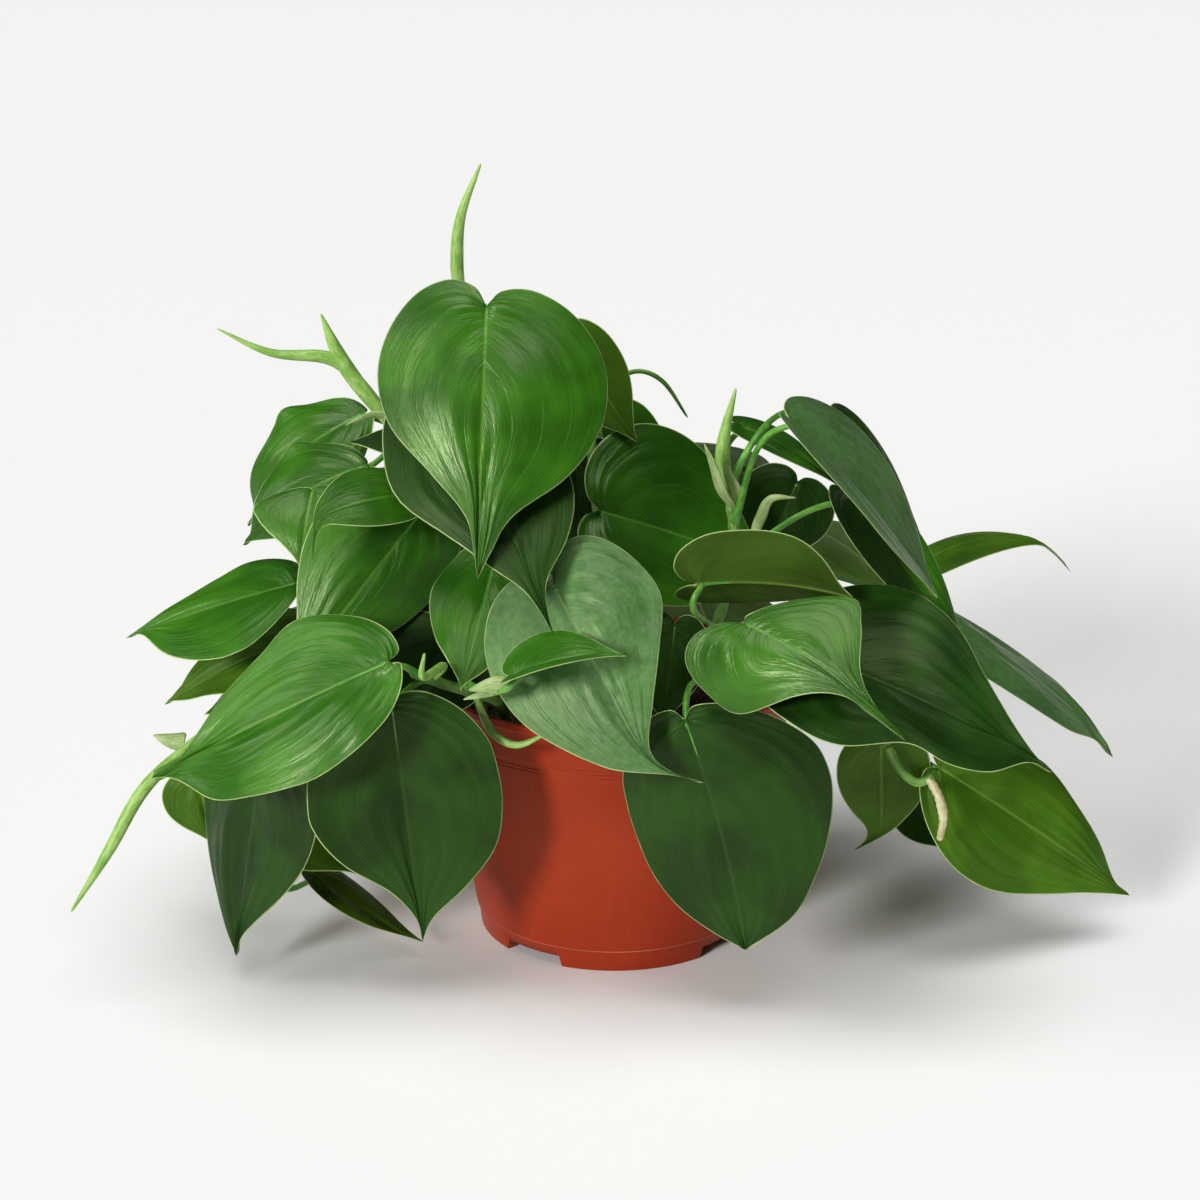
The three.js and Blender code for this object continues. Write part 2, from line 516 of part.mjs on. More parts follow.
// The points of one vein, from the left margin to the right.
function veinPoints(leaf, axes, row, cells) {
  const { lobe = [0, 0], tail = [PLAIN_TAIL, PLAIN_TAIL], wave = 0 } = leaf;
  const [start, plainOut, end] = VEINS[row];
  const points = [];
  for (let k = 0; k <= cells; k++) {
    const share = (2 * k) / cells - 1;
    const reach = Math.abs(share);
    const side = share < 0 ? 0 : 1;
    const out = tail[side][row - WIDEST_VEIN - 1] ?? plainOut;
    const longer = lobe[side] * out * Math.max(0, 1 - (row + 1) / LOBE_VEINS);
    const place = start + (end - longer - start) * reach ** VEIN_SWEEP;
    const rise = wave * Math.sin(WAVE_STEP * row + Math.sign(share)) * reach ** WAVE_POWER;
    points.push(bladePoint(leaf, axes, place, share * out, rise));
  }
  return points;
}

// The blade's middle surface as rows of veins between two single points, the notch and the tip.
function bladeSheet(leaf, axes) {
  const cells = leaf.small ? SMALL_CELLS : CELLS;
  const veins = VEINS.flatMap((_, row) => veinPoints(leaf, axes, row, cells));
  const vertices = [axes.notch, ...veins, bladePoint(leaf, axes, 1, 0, 0)];
  const tip = vertices.length - 1;
  const last = VEINS.length - 1;
  const at = (row, k) => 1 + row * (cells + 1) + k;
  const triangles = [];
  for (let k = 0; k < cells; k++) {
    triangles.push([0, at(0, k), at(0, k + 1)]);
    for (let row = 0; row < last; row++) {
      triangles.push([at(row, k), at(row + 1, k), at(row + 1, k + 1)]);
      triangles.push([at(row, k), at(row + 1, k + 1), at(row, k + 1)]);
    }
    triangles.push([tip, at(last, k + 1), at(last, k)]);
  }
  const left = VEINS.map((_, row) => at(row, 0));
  const right = VEINS.map((_, row) => at(row, cells)).reverse();
  return { vertices, triangles, margin: [...left, tip, ...right, 0] };
}

// The mean direction that the sheet faces at each of its points.
function sheetNormals(vertices, triangles) {
  const normals = vertices.map(() => new THREE.Vector3());
  for (const [a, b, c] of triangles) {
    const side = vertices[c].clone().sub(vertices[a]);
    const normal = vertices[b].clone().sub(vertices[a]).cross(side);
    for (const corner of [a, b, c]) normals[corner].add(normal);
  }
  return normals.map((normal) => normal.normalize());
}

// The sheet given its thickness: the same triangles on both faces, joined round the margin.
function makeBlade(leaf) {
  const { vertices, triangles, margin } = bladeSheet(leaf, leafAxes(leaf));
  const normals = sheetNormals(vertices, triangles);
  const top = vertices.map((v, i) => v.clone().addScaledVector(normals[i], BLADE / 2));
  const under = vertices.map((v, i) => v.clone().addScaledVector(normals[i], -BLADE / 2));
  const count = vertices.length;
  const corners = [];
  for (const [a, b, c] of triangles) {
    corners.push(a, b, c);
    corners.push(count + a, count + c, count + b);
  }
  margin.forEach((a, i) => {
    const b = margin[(i + 1) % margin.length];
    corners.push(b, a, count + a);
    corners.push(b, count + a, count + b);
  });
  return solidOf(closedGeometry([...top, ...under], corners));
}

// A leaf's stalk curves up from its vine and ends under the midrib, just clear of the blade.
function makePetiole(leaf) {
  const axes = leafAxes(leaf);
  const foot = routeCurve(VINES[leaf.vine]).getPoint(leaf.at);
  const slope = 4 * (leaf.bow ?? 0);
  const forward = axes.along.clone().addScaledVector(axes.up, slope).normalize();
  const face = axes.up.clone().addScaledVector(axes.along, -slope).normalize();
  const end = axes.notch.clone().addScaledVector(forward, PETIOLE_REACH);
  end.addScaledVector(face, -PETIOLE_DEPTH);
  const length = foot.distanceTo(end);
  const bend = new THREE.Vector3(...(leaf.bend ?? [0, 0, 0]));
  const first = foot.clone().lerp(end, FIRST_HANDLE[0]).add(bend);
  first.z += FIRST_HANDLE[1] * length;
  const second = end.clone().addScaledVector(forward, -SECOND_HANDLE[0] * length).add(bend);
  second.addScaledVector(face, -SECOND_HANDLE[1] * length);
  const curve = new THREE.CubicBezierCurve3(foot, first, second, end);
  return curveTube(curve, PETIOLE_RADII, PETIOLE_STEPS, PETIOLE_SIDES);
}

// A vine is its stem joined to the stalks and sprouts that grow from it.
function makeVine(name) {
  let vine = curveTube(routeCurve(VINES[name]), STEM_RADIUS, STEM_STEPS, STEM_SIDES);
  for (const sprout of SPROUTS.filter((s) => s.vine === name)) {
    const curve = routeCurve(sprout.route);
    vine = vine.add(curveTube(curve, sprout.radius, SPROUT_STEPS, SPROUT_SIDES));
  }
  for (const leaf of LEAVES.filter((l) => l.vine === name)) vine = vine.add(makePetiole(leaf));
  return vine;
}

// The soil with a hole for each vine's stem, wider than the stem and deeper by the hole's depth.
function makePlantedSoil() {
  let soil = makeSoil();
  const wider = STEM_RADIUS.map((radius) => radius + 2 * GAP);
  for (const [[x, y, z], ...rest] of Object.values(VINES)) {
    const curve = routeCurve([[x, y, z - HOLE_DEPTH], ...rest]);
    soil = soil.subtract(curveTube(curve, wider, STEM_STEPS, STEM_SIDES));
  }
  return soil;
}

addMesh("pot", makePot(), COLOURS.terracotta, 0.5);
addMesh("soil", makePlantedSoil(), COLOURS.soil, 1);
for (const name of Object.keys(VINES)) addMesh("vine_" + name, makeVine(name), COLOURS.stem, 0.5);
for (const leaf of LEAVES) addMesh("leaf_" + leaf.name, makeBlade(leaf), COLOURS[leaf.tone], 0.4);

export default root;
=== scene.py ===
# %% [markdown]
# # A heartleaf philodendron in its nursery pot
# The plant is a handful of thin vines that stand in a plastic pot. Every few centimetres a vine
# carries a leaf on a stalk, and each growing end carries a rolled young leaf. The solids already
# give every piece its size and place. Here each one gets a finer surface in the same place, and
# the finish of the real thing. All numbers are millimetres until a mesh is made from them.

import bpy
import numpy as np
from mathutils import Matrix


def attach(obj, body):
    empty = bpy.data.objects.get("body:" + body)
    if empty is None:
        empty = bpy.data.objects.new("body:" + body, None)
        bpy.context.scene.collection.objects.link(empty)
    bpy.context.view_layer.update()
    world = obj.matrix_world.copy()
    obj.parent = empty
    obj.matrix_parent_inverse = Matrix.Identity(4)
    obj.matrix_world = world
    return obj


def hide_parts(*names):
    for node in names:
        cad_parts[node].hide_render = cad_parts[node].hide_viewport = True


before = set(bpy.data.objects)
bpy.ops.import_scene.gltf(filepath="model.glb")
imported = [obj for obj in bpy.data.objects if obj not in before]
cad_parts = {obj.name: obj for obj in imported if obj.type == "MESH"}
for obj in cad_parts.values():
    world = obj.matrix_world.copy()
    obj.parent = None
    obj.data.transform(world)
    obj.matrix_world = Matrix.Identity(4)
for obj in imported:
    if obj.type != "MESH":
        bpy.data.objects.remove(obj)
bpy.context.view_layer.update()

MM = 0.001

# %% [markdown]
# ## Where the leaves grow
# The plant's layout was settled when its solids were made: ten vines, each a route of a few points
# from its root to its growing end, and 48 leaves, each given by the two ends of its midrib. The
# same tables are written here again, because the fine surfaces have to follow the same lines.

# %% The vines
STEM_RADIUS = (2.6, 1.9)

VINES = {
    "crown": [(-18, 8, 72), (-24, 4, 120), (-40, -4, 180), (-54, -12, 235), (-60, -20, 274)],
    "upper_left": [(-34, 14, 72), (-46, 14, 120), (-62, 14, 160), (-82, 12, 202), (-93, -10, 224)],
    "left": [(-46, 0, 72), (-58, -8, 112), (-80, -18, 138), (-104, -24, 146), (-120, -26, 142)],
    "lower_left": [(-50, -14, 72), (-60, -22, 112), (-90, -34, 122), (-126, -34, 114), (-163, -39, 101)],
    "front_left": [(-40, -34, 72), (-45, -49, 112), (-55, -72, 127), (-66, -81, 134), (-77, -86, 140)],
    "middle": [(2, -12, 72), (0, -18, 120), (-4, -20, 160), (-8, -16, 195), (-10, -6, 220)],
    "upper_right": [(20, 4, 72), (30, -14, 110), (40, -34, 140), (48, -28, 170), (45, -20, 199)],
    "right": [(38, -12, 72), (48, -22, 118), (66, -34, 140), (84, -40, 150), (96, -30, 152)],
    "lower_right": [(50, 6, 72), (60, 0, 112), (84, -15, 117), (103, -38, 105), (110, -50, 96)],
    "back": [(4, 34, 72), (2, 42, 120), (-4, 44, 160), (-10, 44, 190)],
}

# %% [markdown]
# A leaf's row reads like a short description of it. `notch` is where the stalk meets the blade and
# `tip` its drip tip. `roll` turns its face, in degrees, from the front view (from the back view
# with `back`). `half` is the widest half to the left and to the right, and `lobe` lengthens the
# lobe on each side. `bow` and `sweep` arch the midrib up and to the right, and `hook` turns its
# last quarter. All of these are shares of the leaf's length. `tail` is how far out the last four
# veins end on each side, so it draws the outline down to the tip. `fold` is the angle at the midrib
# and `droop` how much further each half has bent down at its margin, in radians. `wave` is the
# height of the margin's waves. `vine` and `at` say where its stalk grows, and `bend` bows the
# stalk. `large` leaves get a finer grid. The leaves at the back can't be seen in the picture, so
# they all have one plain shape, and each has only a notch, a tip, `roll`, `at`, a tone and `large`.

# %% The leaves
PLAIN_TAIL = (0.92, 0.69, 0.38, 0.13)
PLAIN_LEAF = dict(lobe=0, bow=0, sweep=0, hook=(0, 0), tail=(PLAIN_TAIL, PLAIN_TAIL), fold=0, droop=0,
                  wave=0, bend=(0, 0, 0), large=False, back=False)


def leaf(name, notch, tip, roll, half, vine, at, tone, **more):
    """A leaf's row, with plain values where more gives none. One number stands for both halves."""
    row = dict(PLAIN_LEAF, name=name, notch=notch, tip=tip, roll=roll, half=half, vine=vine, at=at,
               tone=tone, **more)
    return {**row, **{key: np.broadcast_to(row[key], 2) for key in ("half", "lobe", "droop")}}


LEAVES = [
    leaf("crown", (-49, -55, 277), (-52, -97, 181), 0, (0.4, 0.46), "crown", 0.94, "middle", large=True,
         lobe=(0.02, -0.12), bow=0.05, hook=(0.03, 0), droop=0.4,
         tail=((0.85, 0.46, 0.13, 0.04), (0.93, 0.68, 0.26, 0.1))),
    leaf("under_crown", (-57, -54, 231), (-23, -112, 164), 5, (0.38, 0.31), "crown", 0.7, "dark",
         lobe=(0.5, 0), droop=(0.1, 0.2), tail=((0.62, 0.36, 0.12, 0.03), (0.95, 0.65, 0.18, 0.04))),
    leaf("silver", (-24, -86, 176), (20, -128, 104), 0, (0.4, 0.37), "middle", 0.5, "grey", large=True,
         lobe=(0, 0.18), bow=0.05, hook=(0, 0.165), droop=(0.2, 0.3),
         tail=((0.92, 0.68, 0.38, 0.04), (0.68, 0.36, 0.09, 0.02)), bend=(-4, 0, -6)),
    leaf("young", (-38, -118, 151), (4, -120, 159), 66, 0.4, "front_left", 0.55, "bright", bow=0.08,
         fold=-0.3, bend=(-8, -12, 4)),
    leaf("inner_left", (-47, -60, 178), (-59, -98, 137), -20, 0.42, "crown", 0.45, "middle", droop=0.3,
         wave=1.5),
    leaf("wavy", (-60, -10, 167), (-90, -38, 141), -20, 0.45, "crown", 0.35, "dark", droop=0.2, wave=2,
         bend=(0, 6, 0)),
    leaf("dark_right", (-6, -30, 189), (66, 0, 154), 24, (0.4, 0.5), "middle", 0.75, "middle", large=True,
         bow=0.04, fold=-0.1),
    leaf("behind_crown", (-19, -5, 254), (9, -14, 213), 0, (0.36, 0.3), "middle", 0.95, "olive", droop=0.3),
    leaf("behind_middle", (-2, 14, 215), (24, 22, 204), 10, 0.4, "back", 0.98, "bright"),
    leaf("underside", (31, -78, 174), (91, -84, 170), 126, (0.4, 0.42), "right", 0.3, "olive",
         lobe=(0.15, 0.1), bow=0.06, fold=-0.3, tail=((1, 0.9, 0.62, 0.2), (0.92, 0.69, 0.38, 0.13))),
    leaf("front_right", (48, -105, 167), (106, -140, 133), 12, (0.44, 0.4), "right", 0.4, "middle",
         large=True, lobe=(0.35, -0.6), bow=0.06, sweep=0.04, droop=(0.9, 0.3),
         tail=((0.42, 0.13, 0.08, 0.04), (0.8, 0.25, 0.05, 0.03))),
    leaf("large_right", (76, -88, 148), (166, -108, 108), 36, 0.42, "right", 0.75, "dark", large=True,
         lobe=(0.3, 0), bow=0.05, fold=-0.25, droop=(0.1, 0.2),
         tail=((0.62, 0.62, 0.45, 0.06), (0.84, 0.5, 0.24, 0.07))),
    leaf("front_low", (26, -106, 129), (51, -102, 31), -12, (0.345, 0.46), "right", 0.15, "dark",
         large=True, lobe=-0.3, bow=0.03, sweep=0.03, droop=0.4,
         tail=((1, 0.92, 0.7, 0.34), (0.97, 0.84, 0.66, 0.43))),
    leaf("front_left", (-86, -90, 128), (-76, -92, 30), 0, (0.38, 0.385), "front_left", 0.9, "dark",
         large=True, lobe=(-0.35, -0.2), fold=-0.1, droop=(-0.2, 0.1),
         tail=((0.98, 0.72, 0.27, 0.04), (1, 0.88, 0.55, 0.15))),
    leaf("big_left", (-86, -100, 150), (-181, -84, 96), -32, (0.31, 0.3), "front_left", 1, "bright",
         large=True, lobe=-0.3, bow=0.02, wave=1, tail=((0.85, 0.6, 0.24, 0.04), (0.98, 0.87, 0.65, 0.18))),
    leaf("low_left", (-140, -66, 104), (-154, -66, 11), -40, (0.38, 0.36), "lower_left", 0.7, "dark",
         large=True, droop=0.2, tail=((0.9, 0.72, 0.48, 0.24), (0.9, 0.64, 0.32, 0.06))),
    leaf("satin_left", (-75, -38, 193), (-128, -64, 130), 4, (0.38, 0.3), "upper_left", 0.5, "middle",
         large=True, bow=0.03, fold=0.1, droop=(0.2, 0.4)),
    leaf("arched_left", (-79, -53, 202), (-122, -72, 194), -30, (0.42, 0.25), "crown", 0.58, "middle",
         bow=0.12, hook=(0, 0.35), droop=0.5, bend=(0, -2, 5)),
    leaf("small_dark", (-72, -30, 218), (-105, -40, 220), -50, (0.3, 0.35), "crown", 0.65, "dark"),
    leaf("round_left", (-121, -23, 196), (-125, -44, 170), 0, (0.66, 0.56), "left", 0.75, "middle",
         lobe=(-0.5, 0), bow=0.1, droop=0.2, bend=(6, -12, 0)),
    leaf("shoulder_left", (-101, -4, 201), (-152, -8, 168), -25, (0.42, 0.37), "upper_left", 0.8, "middle",
         lobe=(-0.5, -0.4), bow=0.15, droop=(0.4, 0.3), wave=1.5),
    leaf("upper_left", (-103, 20, 217), (-153, 20, 168), -25, (0.34, 0.36), "upper_left", 0.6, "middle",
         lobe=-0.5, bow=0.2, droop=(0.4, 0.3), wave=2, bend=(6, 12, 0)),
    leaf("left", (-128, -30, 159), (-199, -26, 134), -50, (0.33, 0.41), "left", 0.9, "bright",
         lobe=(-0.25, -0.5), bow=0.02, droop=(0.2, 0.1),
         tail=((0.8, 0.55, 0.36, 0.14), (1, 0.85, 0.55, 0.06))),
    leaf("left_lower", (-129, -18, 131), (-187, -12, 100), -50, (0.38, 0.28), "left", 0.8, "olive",
         bow=0.05, wave=1),
    leaf("left_inner", (-131, -8, 112), (-172, -5, 93), -35, (0.38, 0.3), "left", 0.7, "olive"),
    leaf("left_low", (-173, -28, 75), (-165, -33, 45), 0, (0.52, 0.5), "lower_left", 0.85, "olive",
         bend=(0, 8, 0)),
    leaf("low_olive", (-128, -44, 68), (-105, -54, 42), 20, (0.6, 0.45), "lower_left", 0.6, "olive"),
    leaf("low_strip", (-125, -34, 34), (-79, -44, 7), 72, (0.25, 0.32), "lower_left", 0.72, "olive",
         bow=-0.04, bend=(-12, 4, -24)),
    leaf("upper_right", (68, -45, 230), (126, -60, 162), 70, (0.42, 0.5), "upper_right", 0.85, "grey",
         large=True, lobe=(-0.2, -0.15), bow=0.03, fold=-0.15,
         tail=((1, 1, 0.7, 0.25), (0.95, 0.75, 0.45, 0.15))),
    leaf("behind_right", (95, -20, 192), (143, -46, 132), 55, (0.42, 0.26), "upper_right", 0.7, "middle",
         large=True, fold=-0.2),
    leaf("shadow_right", (92, 24, 210), (133, 20, 155), 60, (0.36, 0.4), "upper_right", 0.97, "dark",
         bend=(0, -4, 16)),
    leaf("edge_right", (52, 22, 211), (95, 16, 185), 65, 0.3, "upper_right", 0.9, "middle", bow=0.06),
    leaf("dark_behind", (78, 40, 182), (60, 24, 148), 0, 0.5, "back", 0.7, "dark", bend=(0, 12, 0)),
    leaf("far_right_upper", (125, 34, 143), (197, 47, 148), 74, 0.28, "right", 0.95, "olive", bow=0.15,
         hook=(-0.12, 0), droop=0.2, bend=(0, 0, -5)),
    leaf("far_right", (129, -14, 139), (206, -12, 84), 70, (0.28, 0.34), "right", 0.9, "grey", bow=0.04,
         hook=(0, -0.17), droop=0.2, tail=((1, 0.95, 0.8, 0.3),) * 2),
    leaf("low_right", (132, -42, 84), (217, -24, 19), 20, (0.31, 0.26), "lower_right", 0.75, "olive",
         large=True, lobe=(-0.25, -0.3), bow=0.02, droop=(0.1, 0.2),
         tail=((0.92, 0.65, 0.37, 0.15), (0.98, 0.72, 0.43, 0.06))),
    leaf("hanging_right", (108, -42, 95), (110, -40, 47), 0, (0.38, 0.42), "lower_right", 0.65, "olive",
         hook=(0, -0.25)),
    leaf("behind_low_right", (123, -5, 55), (143, -15, 35), 20, 0.4, "lower_right", 0.5, "dark"),
    # These last three leaves sit deep in the plant, in the dark between other blades: they stand partly for
    # that shade, and their dark tone is painted shade
    leaf("inner_dark", (-66, -47, 143), (-86, -64, 106), 0, (0.55, 0.5), "left", 0.45, "dark"),
    leaf("inner_middle", (-16, 16, 202), (-14, 16, 148), 0, 0.42, "back", 0.82, "dark"),
    leaf("inner_right", (24, -43, 146), (19, -60, 108), 0, (0.42, 0.37), "upper_right", 0.3, "dark",
         droop=0.3),
]
BACK_LEAVES = [
    ("back_crown", (-25, 50, 215), (-35, 112, 150), 10, 0.95, "middle", True),
    ("back_left", (-70, 45, 185), (-122, 92, 120), 30, 0.75, "dark", True),
    ("back_right", (28, 56, 192), (52, 114, 138), -10, 0.9, "middle", True),
    ("back_far_right", (82, 58, 158), (134, 98, 104), -30, 0.6, "bright", False),
    ("back_far_left", (-108, 40, 128), (-165, 76, 68), 30, 0.5, "middle", False),
    ("back_low", (-32, 84, 128), (-44, 140, 52), 0, 0.65, "dark", False),
    ("back_low_right", (36, 80, 120), (54, 132, 44), -10, 0.55, "middle", False),
]
BACK_HALF = 0.42
BACK_SHAPE = dict(back=True, bow=0.08, droop=0.3)
LEAVES += [leaf(name, notch, tip, roll, BACK_HALF, "back", at, tone, large=large, **BACK_SHAPE)
           for name, notch, tip, roll, at, tone, large in BACK_LEAVES]
print("leaves:", len(LEAVES), "vines:", len(VINES))

# %% [markdown]
# ## Small tools
# A few helpers carry the whole notebook. `unit` and `smooth` are the geometry: a direction of
# length one, and a curve that passes through every point it is given. Catmull-Rom is chosen over
# a Bézier curve because its points lie on the curve, so a route can be read off a picture.

# %% Directions and smooth curves
def unit(vectors):
    """Vectors divided by their own length."""
    return vectors / np.maximum(np.linalg.norm(vectors, axis=-1, keepdims=True), 1e-9)


def smooth(rows, place):
    """Points at place, from 0 to 1, on a smooth curve through evenly spaced rows.

    Between two rows it is the Catmull-Rom cubic of the four nearest, and the first and last span
    are carried on in a straight line.
    """
    rows = np.asarray(rows, float)
    more = np.concatenate([[2 * rows[0] - rows[1]], rows, [2 * rows[-1] - rows[-2]]])
    place = np.clip(place, 0, 1) * (len(rows) - 1)
    span = np.minimum(place.astype(int), len(rows) - 2)
    t = (place - span).reshape(place.shape + (1,) * (rows.ndim - 1))
    a, b, c, d = (more[span + k] for k in range(4))
    cubic = (3 * b - a - 3 * c + d) * t + 2 * a - 5 * b + 4 * c - d
    return b + 0.5 * t * (c - a + t * cubic)


def ramp(value, low, high):
    """0 below low and 1 above high, with a smooth step between them."""
    t = np.clip((value - low) / (high - low), 0, 1)
    return t * t * (3 - 2 * t)


# %% [markdown]
# Every new piece is a closed grid of points, so one function numbers the corners of its faces, one
# joins several grids and one makes the mesh. The mesh holds a vector attribute, which a material
# can read to follow the surface: how far along a stalk a point lies, or how far from a midrib.

# %% Grids and meshes
def closed_faces(rows, columns, inside_out=False):
    """The faces of a closed grid. Each row of its points runs once round, so the last column joins
    the first, and a fan of triangles joins each end to one more point, numbered after the grid."""
    row, column = np.meshgrid(np.arange(rows - 1), np.arange(columns), indexing="ij")
    ahead = (column + 1) % columns
    near, far = row * columns, (row + 1) * columns
    quads = np.stack([near + column, far + column, far + ahead, near + ahead], axis=-1).reshape(-1, 4)
    one, two, middle = column[0], ahead[0], np.full(columns, rows * columns)
    end = (rows - 1) * columns
    fans = np.concatenate([np.stack([middle, one, two], axis=-1),
                           np.stack([middle + 1, end + two, end + one], axis=-1)])
    faces = quads.tolist() + fans.tolist()
    return [face[::-1] for face in faces] if inside_out else faces


def join(parts):
    """Several lots of points, faces, surface values and face kinds as one lot."""
    first = np.cumsum([0] + [len(part[0]) for part in parts]).tolist()
    faces = [[corner + shift for corner in face] for part, shift in zip(parts, first) for face in part[1]]
    points, surface, kinds = (np.concatenate([part[k] for part in parts]) for k in (0, 2, 3))
    return points, faces, surface, kinds


def make_mesh(name, points, faces, surface, kinds, materials):
    """A smooth-shaded piece at the origin, from points in mm and lists of faces.

    surface is the vector attribute at each point, and kinds the number of each face's material. A
    fourth column of surface is the distance from the midrib.
    """
    surface = np.asarray(surface, np.float32)
    mesh = bpy.data.meshes.new(name)
    mesh.from_pydata((np.asarray(points) * MM).tolist(), [], faces)
    for material in materials:
        mesh.materials.append(material)
    mesh.polygons.foreach_set("material_index", np.asarray(kinds, np.int32))
    mesh.polygons.foreach_set("use_smooth", np.ones(len(faces), bool))
    attribute = mesh.attributes.new("surface", "FLOAT_VECTOR", "POINT")
    attribute.data.foreach_set("vector", surface[:, :3].ravel())
    if surface.shape[1] > 3:
        distance = mesh.attributes.new("from_midrib", "FLOAT", "POINT")
        distance.data.foreach_set("value", surface[:, 3].copy())
    mesh.update()
    piece = bpy.data.objects.new(name, mesh)
    bpy.context.scene.collection.objects.link(piece)
    return piece


def put_in_place(piece, slot, *nodes):
    """The piece stands for its solids, which are hidden, and moves with the part. slot is not used."""
    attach(piece, "root")
    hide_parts(*nodes)


# %% [markdown]
# Materials are node trees. Colours are written as sRGB hex codes, which is how a colour picker
# gives them, and one function turns them to the linear light that the renderer works in. `add`
# adds a node with its settings and its inputs, where an input that is another node's output is
# linked and anything else is set.

# %% Colours and nodes
def linear(code):
    """A colour's hex code as linear red, green and blue, with full opacity."""
    share = np.array([int(code[i:i + 2], 16) for i in (1, 3, 5)]) / 255
    light = np.where(share <= 0.04045, share / 12.92, ((share + 0.055) / 1.055) ** 2.4)
    return (*light.tolist(), 1.0)


def add(tree, kind, inputs=None, **settings):
    """Adds a node and returns it. An input is a socket, a node whose first output in use is linked,
    a colour's hex code or a plain value."""
    node = tree.nodes.new("ShaderNode" + kind)
    for name, value in settings.items():
        setattr(node, name, value)
    for socket, value in (inputs or {}).items():
        if isinstance(value, bpy.types.Node):
            value = next(output for output in value.outputs if output.enabled)
        if isinstance(value, bpy.types.NodeSocket):
            tree.links.new(value, node.inputs[socket])
        else:
            node.inputs[socket].default_value = linear(value) if isinstance(value, str) else value
    return node


def new_material(name, **sockets):
    """A material with its principled shader's sockets set. Returns it, its tree and the shader."""
    material = bpy.data.materials.new(name)
    material.use_nodes = True
    tree = material.node_tree
    shader = tree.nodes["Principled BSDF"]
    for socket, value in sockets.items():
        shader.inputs[socket.replace("_", " ")].default_value = value
    return material, tree, shader


def finish(tree, shader, colour, roughness, height):
    """Links a material's colour, roughness and relief, whose height is in mm."""
    relief = add(tree, "Bump", {"Strength": 1.0, "Distance": MM, "Height": height})
    tree.links.new(colour.outputs["Result"], shader.inputs["Base Color"])
    tree.links.new(roughness.outputs["Value"], shader.inputs["Roughness"])
    tree.links.new(relief.outputs["Normal"], shader.inputs["Normal"])


# %% [markdown]
# ## The skin of a leaf
# A philodendron leaf is a wax-coated skin over green tissue. The wax gives it broad, soft
# highlights, which break into streaks along the veins, because the skin is drawn into shallow
# grooves there. The midrib and the very edge hold less green and look pale. A painted picture of
# veins would be quick, but here the pattern is worked out from where a point lies on the blade:
# the attribute's first value counts veins, so a vein lies wherever it is a whole number, its
# second is the place along the midrib and its third the distance from the margin in mm.

# %% Vein pattern
VEIN_LINE = 0.03         # half the width of a side vein, as a share of the space between two
VEIN_SHADE_WIDTH = 0.3        # half the width of the painted shade round it, darker as in a groove
MIDRIB_WIDTH = (1.0, 0.2)   # from the midrib, in mm: where its pale band ends and where it is full
MARGIN_WIDTH = (0.5, 0.3)   # the same for the pale margin
STREAK_LENGTH = 0.26     # how slowly streaks change along a vein, against across it
BROAD_STREAK = 0.35      # the size of broad and fine streaks, in veins
FINE_STREAK = 0.1
VEIN_FADE = (0.35, 0.6)  # side veins fade in as the broad streaks rise between these shares


def vein_pattern(tree):
    """The nodes of all that follows the veins: each is a share from 0 to 1."""
    surface = add(tree, "Attribute", attribute_name="surface")
    part = add(tree, "SeparateXYZ", {"Vector": surface.outputs["Vector"]})
    from_midrib = add(tree, "Attribute", attribute_name="from_midrib").outputs["Fac"]
    stretched = add(tree, "Math", {0: part.outputs["Y"], 1: STREAK_LENGTH}, operation="MULTIPLY")
    place = add(tree, "CombineXYZ", {"X": part.outputs["X"], "Y": stretched})
    broad = add(tree, "TexNoise", {"Vector": place, "Scale": 1 / BROAD_STREAK, "Detail": 1.0})
    fine = add(tree, "TexNoise", {"Vector": place, "Scale": 1 / FINE_STREAK, "Detail": 2.0})
    nearest = add(tree, "Math", {0: part.outputs["X"], 1: 0.5}, operation="PINGPONG")
    # groove_shade is painted shade: a band round each vein, darkened as shade would darken a groove
    bands = dict(veins=(nearest, VEIN_LINE, 0.0), groove_shade=(nearest, VEIN_SHADE_WIDTH, 0.0),
                 midrib=(from_midrib, *MIDRIB_WIDTH), margin=(part.outputs["Z"], *MARGIN_WIDTH))
    shares = {name: add(tree, "MapRange", {"Value": value, "From Min": wide, "From Max": narrow},
                        interpolation_type="SMOOTHSTEP") for name, (value, wide, narrow) in bands.items()}
    faded = add(tree, "MapRange", {"Value": broad, "From Min": VEIN_FADE[0], "From Max": VEIN_FADE[1]})
    shares["veins"] = add(tree, "Math", {0: shares["veins"], 1: faded}, operation="MULTIPLY")
    return dict(shares, broad=broad, fine=fine)


# %% [markdown]
# One function makes both skins of a blade in any tone, because the leaves of one plant differ only
# in age and light: young ones are a fresh light green, old ones nearly bottle green, and the dark
# tone is also painted shade, given to leaves that lie in shadow deep in the plant. Patches of
# noise 28 mm across vary the green over a blade, and grain of 0.6 mm stands for the skin's cells,
# which are finer than the picture can show. A darker band round each vein is painted shade, as if
# in a groove. The wax tints its highlights a little towards yellow green. A silvery sheen is painted
# on some blades, in clouds of 16 mm and flecks of 2.5 mm. On the lower skin the veins stand out
# instead of lying in grooves, and it has less wax.

